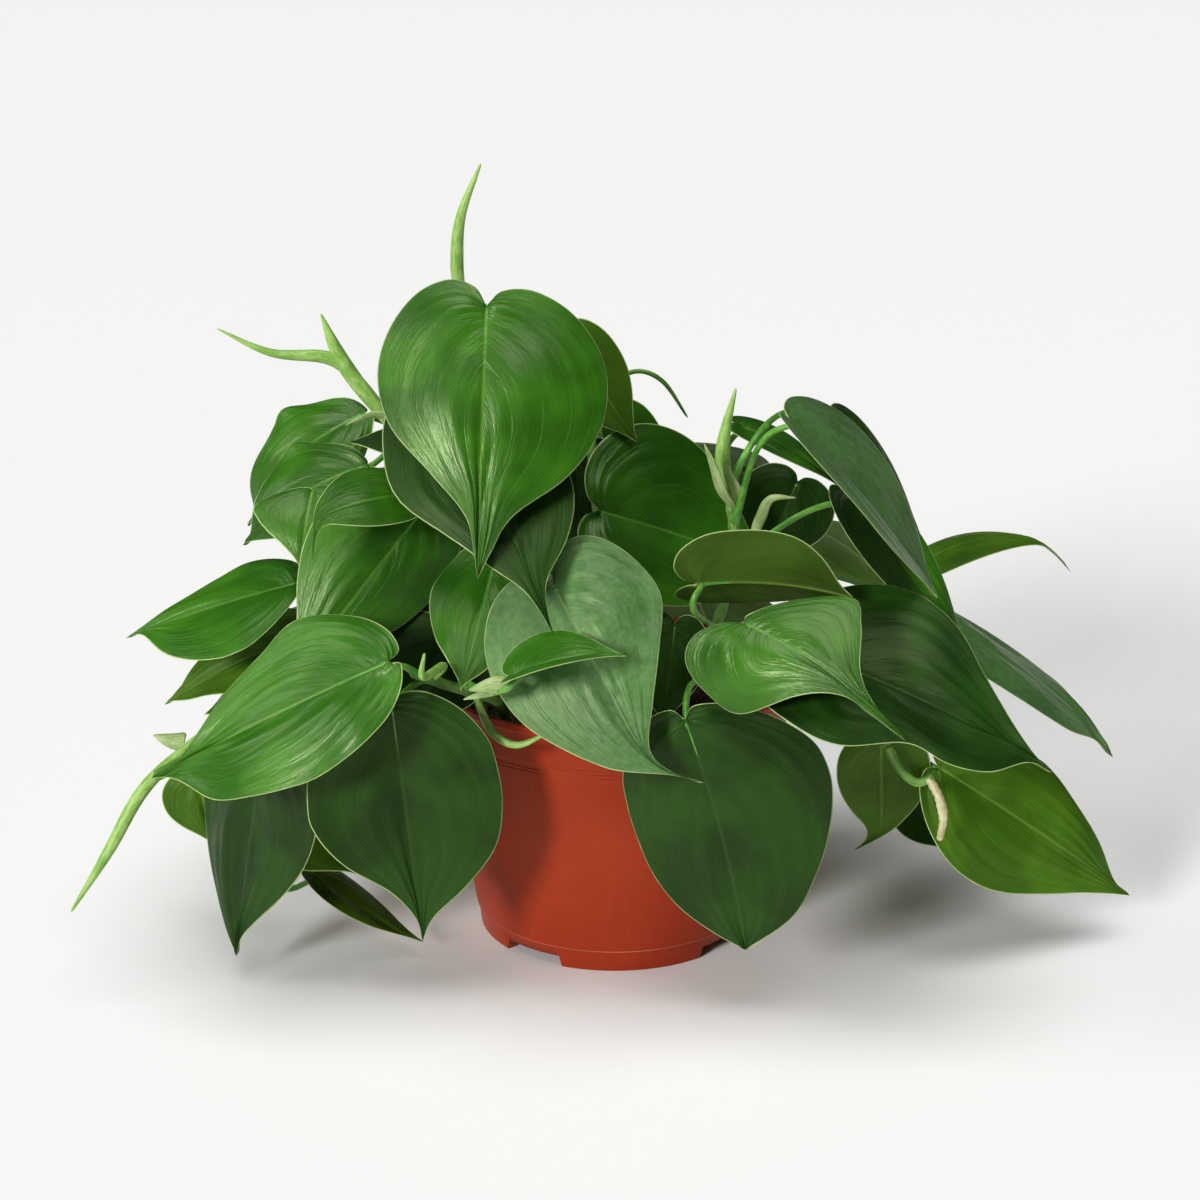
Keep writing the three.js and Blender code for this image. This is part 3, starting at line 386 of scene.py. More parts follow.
# %% Upper and lower skin
PATCH_SIZE = 28 * MM
GRAIN_SIZE = 0.6 * MM
SHEEN_CLOUD_SIZE = 16 * MM
SHEEN_FLECK_SIZE = 2.5 * MM
PATCH_RAMP = (0.35, 0.65)   # the noise between which a patch turns from deep to fresh
PAINTED_SHEEN_RAMP = (0.35, 1.15)   # and the painted sheen from none to full
GRAIN_HEIGHT = 0.02
WAX_TINT = "#efffc8"
THIN_WAX = 1.3           # the lower skin's index of refraction
LOWER_GLOSS = 0.52       # and its roughness
DULLING = 0.2            # how much roughness changes between streaks
EDGE_COLOUR = "#bfd68c"
PAINTED_SHEEN_COLOUR = "#b4c8a8"
UPPER = dict(groove_shade=0.22, broad=0.3, fine=0.04, veins=0.2, midrib=0.32, margin=0.85)
LOWER = dict(groove_shade=0.1, broad=0.3, fine=0.05, veins=0.35, midrib=0.7, margin=0.6)
UPPER_RELIEF = dict(broad=0.25, fine=0.14, veins=-0.06)
LOWER_RELIEF = dict(broad=0.1, fine=0.03, veins=0.1)


def leaf_skin(name, deep, fresh, vein, wax, gloss, shares, reliefs, painted_sheen=0.0):
    """A waxy skin between a deep and a fresh green. wax is its index of refraction, shares are how
    strongly each part of the vein pattern colours it, and reliefs how high each stands in mm."""
    material, tree, shader = new_material(name, IOR=wax, Subsurface_Weight=0.1,
                                          Subsurface_Radius=(0.5, 1.0, 0.2), Subsurface_Scale=MM)
    shader.inputs["Specular Tint"].default_value = linear(WAX_TINT)
    pattern = vein_pattern(tree)
    place = add(tree, "TexCoord").outputs["Object"]
    patches, grain, clouds, sheen_flecks = (
        add(tree, "TexNoise", {"Vector": place, "Scale": 1 / size, "Detail": detail})
        for size, detail in ((PATCH_SIZE, 2.0), (GRAIN_SIZE, 1.0), (SHEEN_CLOUD_SIZE, 2.0), (SHEEN_FLECK_SIZE, 3.0)))
    spread = add(tree, "MapRange", {"Value": patches, "From Min": PATCH_RAMP[0], "From Max": PATCH_RAMP[1]},
                 interpolation_type="SMOOTHSTEP")
    colour = add(tree, "Mix", {"Factor": spread, "A": deep, "B": fresh}, data_type="RGBA")
    # groove_shade mixes in the deep green as painted shade round the veins, not as a colour of the skin
    layers = [("groove_shade", deep), ("broad", fresh), ("fine", vein), ("veins", vein), ("midrib", vein),
              ("margin", EDGE_COLOUR)]
    for part, tint in layers:
        share = add(tree, "Math", {0: pattern[part], 1: shares[part]}, operation="MULTIPLY")
        colour = add(tree, "Mix", {"Factor": share, "A": colour, "B": tint}, data_type="RGBA")
    # A silvery sheen is painted on the blade: streaks times clouds plus flecks, mixed towards a pale grey
    # green. It is a painted highlight.
    painted_sheen_mask = add(tree, "Math", {0: pattern["fine"], 1: clouds, 2: sheen_flecks}, operation="MULTIPLY_ADD")
    painted_sheen_share = add(tree, "MapRange", {"Value": painted_sheen_mask, "From Min": PAINTED_SHEEN_RAMP[0],
                                   "From Max": PAINTED_SHEEN_RAMP[1], "To Max": painted_sheen})
    colour = add(tree, "Mix", {"Factor": painted_sheen_share, "A": colour, "B": PAINTED_SHEEN_COLOUR}, data_type="RGBA")
    dulled = add(tree, "Math", {0: pattern["fine"], 1: DULLING, 2: gloss - DULLING / 2},
                 operation="MULTIPLY_ADD")
    height = add(tree, "Math", {0: grain, 1: GRAIN_HEIGHT}, operation="MULTIPLY")
    for part, rise in reliefs.items():
        height = add(tree, "Math", {0: pattern[part], 1: rise, 2: height}, operation="MULTIPLY_ADD")
    finish(tree, shader, colour, dulled, height)
    return material


def both_skins(tone, upper, lower, wax, gloss, painted_sheen=0.0):
    """A blade's upper and lower skin. upper and lower are each a deep, a fresh and a vein colour."""
    return (leaf_skin("waxy_leaf_" + tone, *upper, wax, gloss, UPPER, UPPER_RELIEF, painted_sheen),
            leaf_skin("leaf_underside_" + tone, *lower, THIN_WAX, LOWER_GLOSS, LOWER, LOWER_RELIEF))


SKINS = {
    # The dark tone is the bottle green of old leaves, and also painted shade for leaves deep in shadow
    "dark": both_skins("dark", ("#112c09", "#20430f", "#36552a"),
                       ("#3c5c22", "#4d702c", "#84a254"), 1.32, 0.42),
    "middle": both_skins("green", ("#1b4a07", "#32690f", "#6f9c40"),
                         ("#426d20", "#557f2a", "#8fb058"), 1.48, 0.31),
    "bright": both_skins("fresh", ("#1f5509", "#367010", "#7aa64a"),
                         ("#4a7822", "#60912e", "#9fbd62"), 1.5, 0.31),
    "olive": both_skins("olive", ("#315609", "#487014", "#7f9f44"),
                        ("#2b450e", "#3b5814", "#728c3a"), 1.34, 0.4),
    # The last number of the grey tone is the strength of its painted silvery sheen
    "grey": both_skins("silvery", ("#245414", "#3a6c22", "#7a9f60"),
                       ("#46662f", "#587a3c", "#8fa86c"), 1.42, 0.4, 0.2),
}
print("leaf materials:", 2 * len(SKINS))

# %% [markdown]
# ## The blade of a leaf
# The blade is one surface with two parameters. The first runs from the notch, at 0, to the tip, at
# 10, and counts side veins; the second runs across, from the left margin, at -1, over the midrib,
# at 0, to the right margin. A heart could be drawn as an outline and filled, but then its grid
# would ignore the veins. Here each row of the grid is a side vein: it leaves the midrib at one
# place, and ends further along the margin, so every crease and highlight falls along the veins.

# %% The heart
# Each row is one vein: where it leaves the midrib, how far out its end lies on the margin, and
# how far along its end lies, as shares of the leaf's length and of its widest half.
VEINS = np.array([
    (0, 0, 0),
    (0.01, 0.12, -0.075),
    (0.025, 0.38, -0.1),
    (0.05, 0.69, -0.04),
    (0.1, 0.93, 0.1),
    (0.17, 1, 0.27),
    (0.27, 0.92, 0.45),
    (0.4, 0.69, 0.62),
    (0.56, 0.38, 0.77),
    (0.75, 0.13, 0.9),
    (1, 0, 1),
])
LAST_VEIN = len(VEINS) - 1
WIDEST_VEIN = 5
LOBE_VEINS = 6           # how many veins a longer lobe pulls back with it
VEIN_SWEEP = 1.4         # the power that turns a vein towards the tip as it runs out
HOOK_START = 0.75        # where along the midrib its hook begins
WAVE_STEP = 2.2          # how far the margin's waves turn from vein to vein, in radians
WAVE_POWER = 3           # how quickly the waves die away from the margin
VIEW_LEVEL = 0.951       # a face that isn't rolled looks this far towards the camera
VIEW_HEIGHT = 0.309      # and this far up, which is 18 degrees above the level


def leaf_axes(leaf):
    """The notch, the directions along the midrib, up out of the face and right, and the length."""
    notch, tip = np.array(leaf["notch"], float), np.array(leaf["tip"], float)
    length = np.linalg.norm(tip - notch)
    along = (tip - notch) / length
    view = np.array([0, VIEW_LEVEL if leaf["back"] else -VIEW_LEVEL, VIEW_HEIGHT])
    up = unit(view - (view @ along) * along)
    turn = np.radians(-leaf["roll"])
    up = up * np.cos(turn) + np.cross(along, up) * np.sin(turn)
    return notch, along, up, np.cross(up, along), length


def reach_out(leaf, side, vein):
    """How far out a vein's end lies, on one side. The leaf's tail gives its last four veins."""
    out = np.concatenate([VEINS[:WIDEST_VEIN + 1, 1], leaf["tail"][side], [0]])
    return smooth(out, vein / LAST_VEIN)


def blade_middle(leaf, vein, across):
    """The blade's middle surface at arrays of the two parameters.

    A point's place along the midrib is its vein's start plus the rest of the vein's run times the
    power 1.4 of its share of the way out. The midrib arches as a parabola and its last quarter
    hooks over. Each half is an arc that starts at the fold angle, and the margin rises in waves.
    """
    notch, along, up, right, length = leaf_axes(leaf)
    start, end = (smooth(VEINS[:, k], vein / LAST_VEIN) for k in (0, 2))
    right_half = across > 0
    reach = np.abs(across)
    out = np.where(right_half, reach_out(leaf, 1, vein), reach_out(leaf, 0, vein))
    lobe, half, droop = (np.where(right_half, leaf[k][1], leaf[k][0]) for k in ("lobe", "half", "droop"))
    longer = lobe * out * np.clip(1 - vein / LOBE_VEINS, 0, None)
    place = (start + (end - longer - start) * reach ** VEIN_SWEEP)[..., None]
    rise = leaf["wave"] * np.sin(WAVE_STEP * (vein - 1) + np.sign(across)) * reach ** WAVE_POWER
    arch = 4 * place * (1 - place)
    late = (np.clip(place - HOOK_START, 0, None) / (1 - HOOK_START)) ** 2
    normal = unit(up - 4 * leaf["bow"] * (1 - 2 * place) * along)
    bend = np.where(droop == 0, 1e-3, droop)
    angle = leaf["fold"] + bend * reach * out
    level = half * length * (np.sin(angle) - np.sin(leaf["fold"])) / bend
    drop = half * length * (np.cos(leaf["fold"]) - np.cos(angle)) / bend
    return (notch + along * place * length
            + up * (leaf["bow"] * arch + leaf["hook"][0] * late) * length
            + right * (leaf["sweep"] * arch + leaf["hook"][1] * late) * length
            + right * (np.sign(across) * level)[..., None]
            + normal * (rise - drop)[..., None])


# %% [markdown]
# A real blade isn't a smooth sheet. It is quilted: it puffs up a little between side veins, lies
# in a groove over the midrib and stands out in a rib below it. That relief is in the mesh itself,
# as sums of simple terms, so light catches it from every side. The veins sweep towards the tip
# as they run out, which the vein count follows, and the drawn lines above use the same count.

# %% Relief and thickness
BLADE = 0.5              # thickness at the midrib, in mm
MARGIN = 0.26            # thickness at the margin
VEIN_STEP = 1.8          # rows between two side veins, where they leave the midrib
ROWS_OUT = 2.5           # rows that a side vein crosses evenly on its way out
LATE_ROWS = 2.0          # and the weight of a logarithm that turns it along the margin
QUILT = 0.18             # how far the blade puffs up between side veins, on a leaf 100 mm long
VALLEY = (0.012, 0.07)   # depth and width of the valley round the midrib, as shares of the length
GROOVE = (0.45, 1.3)     # depth and width of the groove over the midrib
RIB = (0.9, 1.1)         # height and width of the rib under it
SLOW_WAVE = 0.018        # height of the slow waves, as a share of the leaf's length
NEAR_MARGIN = 0.985
draws = np.random.default_rng(7)


def vein_count(vein, across):
    """Which side vein a point lies on: a whole number on it, and a fraction between two. A vein
    leaves the midrib at an angle and bends to run beside the margin, towards the tip."""
    reach = np.abs(across)
    return (vein - ROWS_OUT * reach + LATE_ROWS * np.log(1 - 0.92 * reach)) / VEIN_STEP


def blade_relief(length, vein, across, from_midrib):
    """Slow seeded waves, and quilting as a cosine of the vein count, which is deep where the waves
    are high and gone where they are low. Both fade at the midrib and margin. The blade also swells
    on each side of a bell-shaped valley round the midrib."""
    reach = np.abs(across)
    fade = ramp(reach, 0, 0.3) * (1 - ramp(reach, 0.75, 1))
    turns, phases = draws.uniform(0.5, 1.6, (3, 2)), draws.uniform(0, 2 * np.pi, 3)
    slow = sum(np.sin(a * vein + 3 * b * across + c) for (a, b), c in zip(turns, phases)) / 3
    quilt = -QUILT / 100 * np.cos(2 * np.pi * vein_count(vein, across)) * (1 + slow)
    swell = VALLEY[0] * (1 - np.exp(-(from_midrib / VALLEY[1] / length) ** 2))
    ends = ramp(vein, 0, 2) * (1 - ramp(vein, 6, LAST_VEIN))
    return ((quilt + SLOW_WAVE * slow) * fade + swell * ends * (1 - ramp(reach, 0.4, 1))) * length


def surface_normals(points):
    """Unit normals of a grid of points: the cross product of its slopes along both parameters."""
    return unit(np.cross(np.gradient(points, axis=0), np.gradient(points, axis=1)))


def closed_sheet(top, under, ends, surface, end_values):
    """The points, faces, surface values and face kinds of a thin closed sheet.

    top and under are grids that share their first and last columns, and each row of both makes one
    ring. The two ends are single points, with surface values of their own. Kind 0 is top, 1 under.
    """
    rings, around = (np.concatenate([above, below[:, -2:0:-1]], axis=1)
                     for above, below in ((top, under), (surface, surface)))
    rows, columns = rings.shape[:2]
    kind = (np.arange(columns) >= top.shape[1] - 1).astype(int)
    return (np.concatenate([rings.reshape(-1, 3), ends]), closed_faces(rows, columns),
            np.concatenate([around.reshape(rows * columns, -1), end_values]), np.tile(kind, rows + 1))


# %% [markdown]
# The grid is finer near the midrib, where the groove is only a millimetre wide, and has one extra
# column beside each margin, so that the blade rounds over its edge within half a millimetre.

# %% Make the blades
LARGE_GRID = (72, 30)    # rows along a blade and cells across each half
SMALL_GRID = (44, 18)
CROWDING = 1.25          # the power that crowds the columns at the midrib
THIN_END = 0.3           # the share of its thickness that a blade keeps at its two ends


def columns_across(cells):
    """Places from -1 to 1, closer together near the midrib, with one beside each margin."""
    out = np.append(NEAR_MARGIN * np.linspace(0, 1, cells + 1) ** CROWDING, 1)
    return np.concatenate([-out[:0:-1], out])


def blade_grids(leaf, rows, cells):
    """The top and under grids of a blade, its two end points, and the surface attribute."""
    across = columns_across(cells)[None, :]
    vein = np.linspace(0, LAST_VEIN, rows + 2)[1:-1, None]
    vein, across = np.broadcast_arrays(vein, across)
    middle = blade_middle(leaf, vein, across)
    length = leaf_axes(leaf)[-1]
    run = np.linalg.norm(np.diff(middle, axis=1), axis=-1)
    run = np.concatenate([np.zeros((rows, 1)), np.cumsum(run, axis=1)], axis=1)
    centre = run[:, cells + 1:cells + 2]
    from_midrib = np.abs(run - centre)
    from_margin = np.where(across > 0, run[:, -1:] - centre, centre) - from_midrib
    normal = surface_normals(middle)
    middle = middle + normal * blade_relief(length, vein, across, from_midrib)[..., None]
    fade = ramp(vein, 0, 0.6) * (1 - ramp(vein, LAST_VEIN - 1, LAST_VEIN))
    thick = (BLADE - (BLADE - MARGIN) * np.abs(across) ** 4) * (THIN_END + (1 - THIN_END) * fade) / 2
    thick[:, [0, -1]] = 0
    thin_tip = fade * (1 - 0.6 * vein / LAST_VEIN)
    groove = GROOVE[0] * np.exp(-(from_midrib / GROOVE[1]) ** 2) * thin_tip
    rib = RIB[0] * np.exp(-(from_midrib / RIB[1]) ** 2) * thin_tip
    top = middle + normal * (thick - groove * (thick > 0))[..., None]
    under = middle - normal * (thick + rib * (thick > 0))[..., None]
    ends = blade_middle(leaf, np.array([0.0, LAST_VEIN]), np.zeros(2))
    surface = np.stack([vein_count(vein, across), vein, from_margin, from_midrib], axis=-1)
    return top, under, ends, surface


def make_blade(leaf):
    """One leaf blade as a closed sheet in its tone's two skins."""
    top, under, ends, surface = blade_grids(leaf, *(LARGE_GRID if leaf["large"] else SMALL_GRID))
    tip_values = (LAST_VEIN / VEIN_STEP, LAST_VEIN, 0, 0)
    sheet = closed_sheet(top, under, ends, surface, [(0, 0, 0, 0), tip_values])
    piece = make_mesh("blade_" + leaf["name"], *sheet, SKINS[leaf["tone"]])
    put_in_place(piece, "leaf_" + leaf["tone"], "leaf_" + leaf["name"])
    return len(sheet[1])


print("blade faces:", sum(make_blade(leaf) for leaf in LEAVES))

# %% [markdown]
# ## Stems, stalks and young leaves
# The stems are smooth and round, a pale green that darkens with age, with a ring at each node
# where a stalk grows. The stalks are softer and glassier. A young leaf is still rolled into a
# spear with its seam winding round it, and papery sheaths stand beside it. All of these are one
# profile carried along a path, so one tube function makes them, with its radius given at every
# point of the grid. Blender's curve bevel would be quicker but can't swell or wind a seam.

# %% Green materials for the stems
STEM_PATCH = 9 * MM


def stalk_skin(name, deep, fresh, gloss, streak_width, height=0.12):
    """The skin of a stem: fine streaks along it, between a deep and a fresh colour."""
    material, tree, shader = new_material(name, IOR=1.42, Subsurface_Weight=0.2,
                                          Subsurface_Radius=(0.6, 1.0, 0.3), Subsurface_Scale=1.5 * MM)
    surface = add(tree, "Attribute", attribute_name="surface").outputs["Vector"]
    place = add(tree, "TexCoord").outputs["Object"]
    streak = add(tree, "TexNoise", {"Vector": surface, "Scale": 1 / streak_width, "Detail": 3.0})
    patches = add(tree, "TexNoise", {"Vector": place, "Scale": 1 / STEM_PATCH, "Detail": 2.0})
    both = add(tree, "Math", {0: streak, 1: patches}, operation="ADD")
    share = add(tree, "MapRange", {"Value": both, "From Min": 0.8, "From Max": 1.2},
                interpolation_type="SMOOTHSTEP")
    colour = add(tree, "Mix", {"Factor": share, "A": deep, "B": fresh}, data_type="RGBA")
    dulled = add(tree, "Math", {0: streak, 1: DULLING, 2: gloss - DULLING / 2}, operation="MULTIPLY_ADD")
    finish(tree, shader, colour, dulled, add(tree, "Math", {0: streak, 1: height}, operation="MULTIPLY"))
    return material


STALK_SKINS = [
    stalk_skin("green_stem", "#4f7a30", "#729c46", 0.45, 0.45),
    stalk_skin("leaf_stalk", "#47842a", "#74b043", 0.35, 0.5),
    stalk_skin("rolled_young_leaf", "#79a645", "#9fc36a", 0.40, 0.35),
    stalk_skin("papery_sheath", "#7f9d58", "#aebf86", 0.55, 0.3, 0.2),
    stalk_skin("aerial_root", "#b5ab78", "#d9d3ac", 0.65, 0.6, 0.35),
]
STEM, STALK, ROLLED, SHEATH, ROOT = range(len(STALK_SKINS))
print("stem materials:", len(STALK_SKINS))

# %% [markdown]
# The tube's section has to be carried along the path without twisting. A fixed side direction
# does that in one array operation: the direction that the path runs along least, found as the
# last singular vector of its tangents, is made square to each tangent.

# %% A tube along a path
def tube(points, radius, kind, sides):
    """A closed tube: points on its axis, and its radius at each of them or at each grid point.

    Returns points, faces, surface values and face kinds. The surface attribute is the place along
    in centimetres, and the two sides of the section's unit circle, so it has no seam.
    """
    ahead = unit(np.gradient(points, axis=0))
    side = np.linalg.svd(ahead)[2][-1]
    across = unit(side - (ahead @ side)[:, None] * ahead)
    over = np.cross(ahead, across)
    angle = np.arange(sides) * 2 * np.pi / sides
    round_it = across[:, None] * np.cos(angle)[:, None] + over[:, None] * np.sin(angle)[:, None]
    radius = np.broadcast_to(np.asarray(radius, float).reshape(len(points), -1), (len(points), sides))
    rings = points[:, None] + round_it * radius[..., None]
    run = np.append(0, np.cumsum(np.linalg.norm(np.diff(points, axis=0), axis=1)))
    corner = np.stack(np.broadcast_arrays(run[:, None] / 10, np.cos(angle), np.sin(angle)), axis=-1)
    faces = closed_faces(len(points), sides, inside_out=True)
    corner = np.concatenate([corner.reshape(-1, 3), corner[0, :1], corner[-1, :1]])
    return np.concatenate([rings.reshape(-1, 3), points[[0, -1]]]), faces, corner, [kind] * len(faces)


def rounded_ends(radii, share, start=0.0):
    """Radii that fall to nothing in a quarter circle over the last share of a tube."""
    place = np.linspace(0, 1, len(radii))
    fall = np.sqrt(np.clip(1 - (np.clip(place - 1 + share, 0, None) / share) ** 2, 0, 1))
    if start:
        fall = fall * np.sqrt(np.clip(1 - (np.clip(start - place, 0, None) / start) ** 2, 0, 1))
    return radii * fall


# %% [markdown]
# Stem and stalks come first. The stem swells by a fifth at each node. A stalk leaves it in a
# collar, thins, thickens again to a joint under the blade, and then runs on below the midrib,
# thinning out in the rib, so blade and stalk look grown together.

# %% Stems and stalks
STEM_STEPS = 160
STEM_SIDES = 20
NODE_SWELL = 0.2
NODE_LENGTH = 1.6
STEM_END = 1.5           # how much of a stem's tip is rounded, in mm
STALK_STEPS = 44
STALK_SIDES = 14
STALK_REACH = 2          # how far in front of the notch a stalk meets the blade
STALK_DEPTH = 1.1        # and how far under the midrib
CURVE_POINTS = 12
RIB_VEINS = (2.7, 4.2, 5.7)
RIB_DEPTHS = (0.85, 0.6, 0.4)
FIRST_HANDLE = (0.3, 0.15)
SECOND_HANDLE = (0.2, 0.25)
STALK_RADII = (2.0, 1.5, 1.35, 1.25, 1.25, 1.3, 1.15, 0.75, 0.35)


def make_stem(name):
    """The stem's radius falls evenly along its route, with a Gaussian swelling at each node."""
    place = np.linspace(0, 1, STEM_STEPS)
    points = smooth(VINES[name], place)
    length = np.linalg.norm(np.diff(points, axis=0), axis=1).sum()
    radii = np.interp(place, (0, 1), STEM_RADIUS)
    for leaf in LEAVES:
        if leaf["vine"] == name:
            apart = (place - leaf["at"]) * length / NODE_LENGTH
            radii = radii * (1 + NODE_SWELL * np.exp(-apart ** 2))
    return tube(points, rounded_ends(radii, STEM_END / length), STEM, STEM_SIDES)


def make_stalk(leaf):
    """A cubic Bézier curve from the vine to under the midrib, carried on along the rib."""
    notch, along, up = leaf_axes(leaf)[:3]
    foot = smooth(VINES[leaf["vine"]], np.array([leaf["at"]]))[0]
    slope = 4 * leaf["bow"]
    forward, face = unit(along + slope * up), unit(up - slope * along)
    end = notch + STALK_REACH * forward - STALK_DEPTH * face
    span, bend = np.linalg.norm(foot - end), np.array(leaf["bend"], float)
    first = foot + FIRST_HANDLE[0] * (end - foot) + bend + (0, 0, FIRST_HANDLE[1] * span)
    second = end - SECOND_HANDLE[0] * span * forward - SECOND_HANDLE[1] * span * face + bend
    t = np.linspace(0, 1, CURVE_POINTS)[:, None]
    curve = (1 - t) ** 3 * foot + 3 * t * (1 - t) ** 2 * first + 3 * t * t * (1 - t) * second + t ** 3 * end
    rib = blade_middle(leaf, np.array(RIB_VEINS), np.zeros(3)) - face * np.array(RIB_DEPTHS)[:, None]
    points = smooth(np.concatenate([curve, rib]), np.linspace(0, 1, STALK_STEPS))
    radii = smooth(np.array(STALK_RADII), np.linspace(0, 1, STALK_STEPS))
    return tube(points, radii, STALK, STALK_SIDES)


# %% [markdown]
# A rolled young leaf is a spear whose radius creeps up around its section and drops back at the
# seam, which winds slowly round it. The same tube without a seam serves for the tendril, for a
# bare stem's end and for the aerial root, which is knobbly where it looks for something to hold.

# %% Rolled leaves and strands
ROLL_STEPS = 90
ROLL_SIDES = 40
SEAM_STEP = 0.16         # the seam's height, as a share of the radius
SEAM_START = 0.93        # where on its way round the radius falls back
SEAM_TURNS = 0.8
ROLL_ENDS = (0.03, 0.01)     # the rounded shares of a roll, at its tip and at its foot
STRAND_ENDS = (0.05, 0.02)   # and of a strand
KNOBS = (37, 23)         # how fast a strand's two waves turn
STRAND_STEPS = 60
STRAND_SIDES = 16


def make_roll(route, radii):
    """The radius grows by the seam's step once round and falls back at the seam."""
    place = np.linspace(0, 1, ROLL_STEPS)
    angle = np.arange(ROLL_SIDES) / ROLL_SIDES
    turn = (angle[None, :] + SEAM_TURNS * place[:, None]) % 1
    wrap = 1 - SEAM_STEP / 2 + SEAM_STEP * turn * (1 - ramp(turn, SEAM_START, 1))
    spread = rounded_ends(smooth(np.array(radii, float), place), *ROLL_ENDS)
    return tube(smooth(route, place), spread[:, None] * wrap, ROLLED, ROLL_SIDES)


def make_strand(route, radii, kind, knobs=0.0):
    """A plain strand, whose radius wavers by knobs times its size."""
    place = np.linspace(0, 1, STRAND_STEPS)
    waver = 1 + knobs * np.sin(KNOBS[0] * place) * np.sin(KNOBS[1] * place + 1)
    spread = rounded_ends(smooth(np.array(radii, float), place) * waver, *STRAND_ENDS)
    return tube(smooth(route, place), spread, kind, STRAND_SIDES)


# %% [markdown]
# A sheath is the papery scale that wrapped a young leaf before it opened. It is thin, hollow on
# one side and widest a third of the way up: a curled sheet, made closed with the same function as
# the blades. A tube pressed flat would be simpler, but it would have no hollow to catch a shadow.

# %% Sheaths
SHEATH_STEPS = 40
SHEATH_CELLS = 17
SHEATH_CURL = 1.9        # the angle of its section
SHEATH_THICK = 0.22      # half its thickness, in mm


def make_sheath(route, width, facing):
    """A curled scale along a route. Each section is an arc that bulges towards facing, and its
    width rises and falls along the route as a power of a sine."""
    place = np.linspace(0, 1, SHEATH_STEPS)[1:-1]
    axis = smooth(route, place)
    ahead = unit(np.gradient(axis, axis=0))
    out = unit(np.array(facing, float) - (ahead @ np.array(facing, float))[:, None] * ahead)
    side = np.cross(ahead, out)
    half = width / 2 * np.sin(np.pi * place ** 0.6) ** 0.8
    across = np.linspace(-1, 1, SHEATH_CELLS)[None, :]
    angle = across * SHEATH_CURL / 2
    radius = (half / np.sin(SHEATH_CURL / 2))[:, None]
    section = (side[:, None] * (radius * np.sin(angle))[..., None]
               + out[:, None] * (radius * (np.cos(angle) - 1))[..., None])
    middle = axis[:, None] + section
    normal = side[:, None] * np.sin(angle)[..., None] + out[:, None] * np.cos(angle)[..., None]
    thick = SHEATH_THICK * (1 - across ** 6)[..., None]
    surface = np.stack(np.broadcast_arrays(place[:, None], np.sin(2 * angle), np.cos(2 * angle)), axis=-1)
    sheet = closed_sheet(middle + normal * thick, middle - normal * thick, [route[0], route[-1]], surface,
                         [surface[0, 0], surface[-1, 1]])
    return *sheet[:3], [SHEATH] * len(sheet[3])


# %% [markdown]
# What grows on a vine besides its leaves is listed here by the vine's name. A roll or a strand has
# a route and the radii along it, and a sheath a route, a width and the side that it faces. Each
# vine's stem, stalks and sprouts then become one mesh, since on the plant they are grown together.

# %% Make the vines
SPROUTS = {
    "crown": [
        make_roll([(-60, -20, 270), (-62, -20, 288), (-60, -20, 306), (-52, -20, 326)],
                  (1.8, 2.7, 1.9, 0.5)),
    ],
    "upper_left": [
        make_roll([(-89, -10, 218), (-104, -10, 238), (-111, -10, 250), (-117, -10, 265)],
                  (2.4, 3.3, 2.7, 0.4)),
        make_roll([(-103, -10, 238), (-115, -10, 247), (-137, -14, 250), (-158, -15, 260)],
                  (1.8, 2.7, 1.6, 0.3)),
        make_sheath([(-89, -12, 222), (-97, -15, 224), (-108, -17, 221)], 5, (0, -1, -1)),
    ],
    "lower_left": [
        make_roll([(-163, -39, 101), (-186, -66, 86), (-201, -76, 62), (-217, -80, 37)],
                  (1.7, 2.6, 2.2, 0.5)),
        make_sheath([(-176, -30, 92), (-182, -28, 91), (-190, -26, 92)], 8, (0, -1, 1)),
    ],
    "upper_right": [
        make_roll([(45, -20, 197), (43, -20, 208), (44, -20, 220), (48, -20, 237)],
                  (1.8, 3.2, 2.2, 0.5)),
        make_sheath([(49, -22, 186), (42, -31, 196), (38, -34, 209), (35, -34, 218)], 6, (-1, -1, 0)),
        make_sheath([(50, -22, 186), (49, -25, 194), (45, -25, 203), (43, -25, 209)], 5, (0, -1, 0)),
        make_sheath([(55, -26, 176), (58, -30, 186), (62, -33, 195), (72, -35, 196)], 4.5, (0, -1, 0.4)),
    ],
    "front_left": [
        make_roll([(-70, -84, 138), (-66, -94, 146), (-72, -117, 150), (-71, -119, 160)],
                  (1.6, 1.8, 1.4, 0.5)),
        make_roll([(-55, -72, 127), (-48, -80, 114), (-38, -84, 110), (-26, -86, 116)],
                  (1.4, 1.7, 1.4, 0.5)),
        make_sheath([(-38, -117, 147), (-46, -120, 148), (-55, -121, 146)], 7, (0, -1, 0.6)),
        make_sheath([(-40, -117, 146), (-48, -119, 144), (-57, -120, 142)], 4, (0, -1, 0)),
    ],
    "middle": [
        make_strand([(-10, -8, 212), (-4, 26, 224), (8, 34, 231), (20, 34, 227), (31, 34, 211)],
                    (1.2, 1, 1, 1, 0.5), STALK),
    ],
    "lower_right": [
        make_strand([(110, -50, 96), (115, -56, 88), (121, -61, 85), (127, -64, 89)],
                    (1.9, 1.8, 1.8, 1.6), STEM),
        make_strand([(125, -63, 88), (129, -67, 81), (131, -67, 72), (130, -66, 62)],
                    (1.6, 1.9, 1.8, 1.2), ROOT, 0.12),
    ],
}


def make_vine(name):
    """A vine's stem, stalks and sprouts, put together in one piece."""
    stalks = [make_stalk(leaf) for leaf in LEAVES if leaf["vine"] == name]
    vine = join([make_stem(name), *SPROUTS.get(name, []), *stalks])
    put_in_place(make_mesh("stems_" + name, *vine, STALK_SKINS), "stem", "vine_" + name)
    return len(vine[1])


print("stem faces:", sum(make_vine(name) for name in VINES))

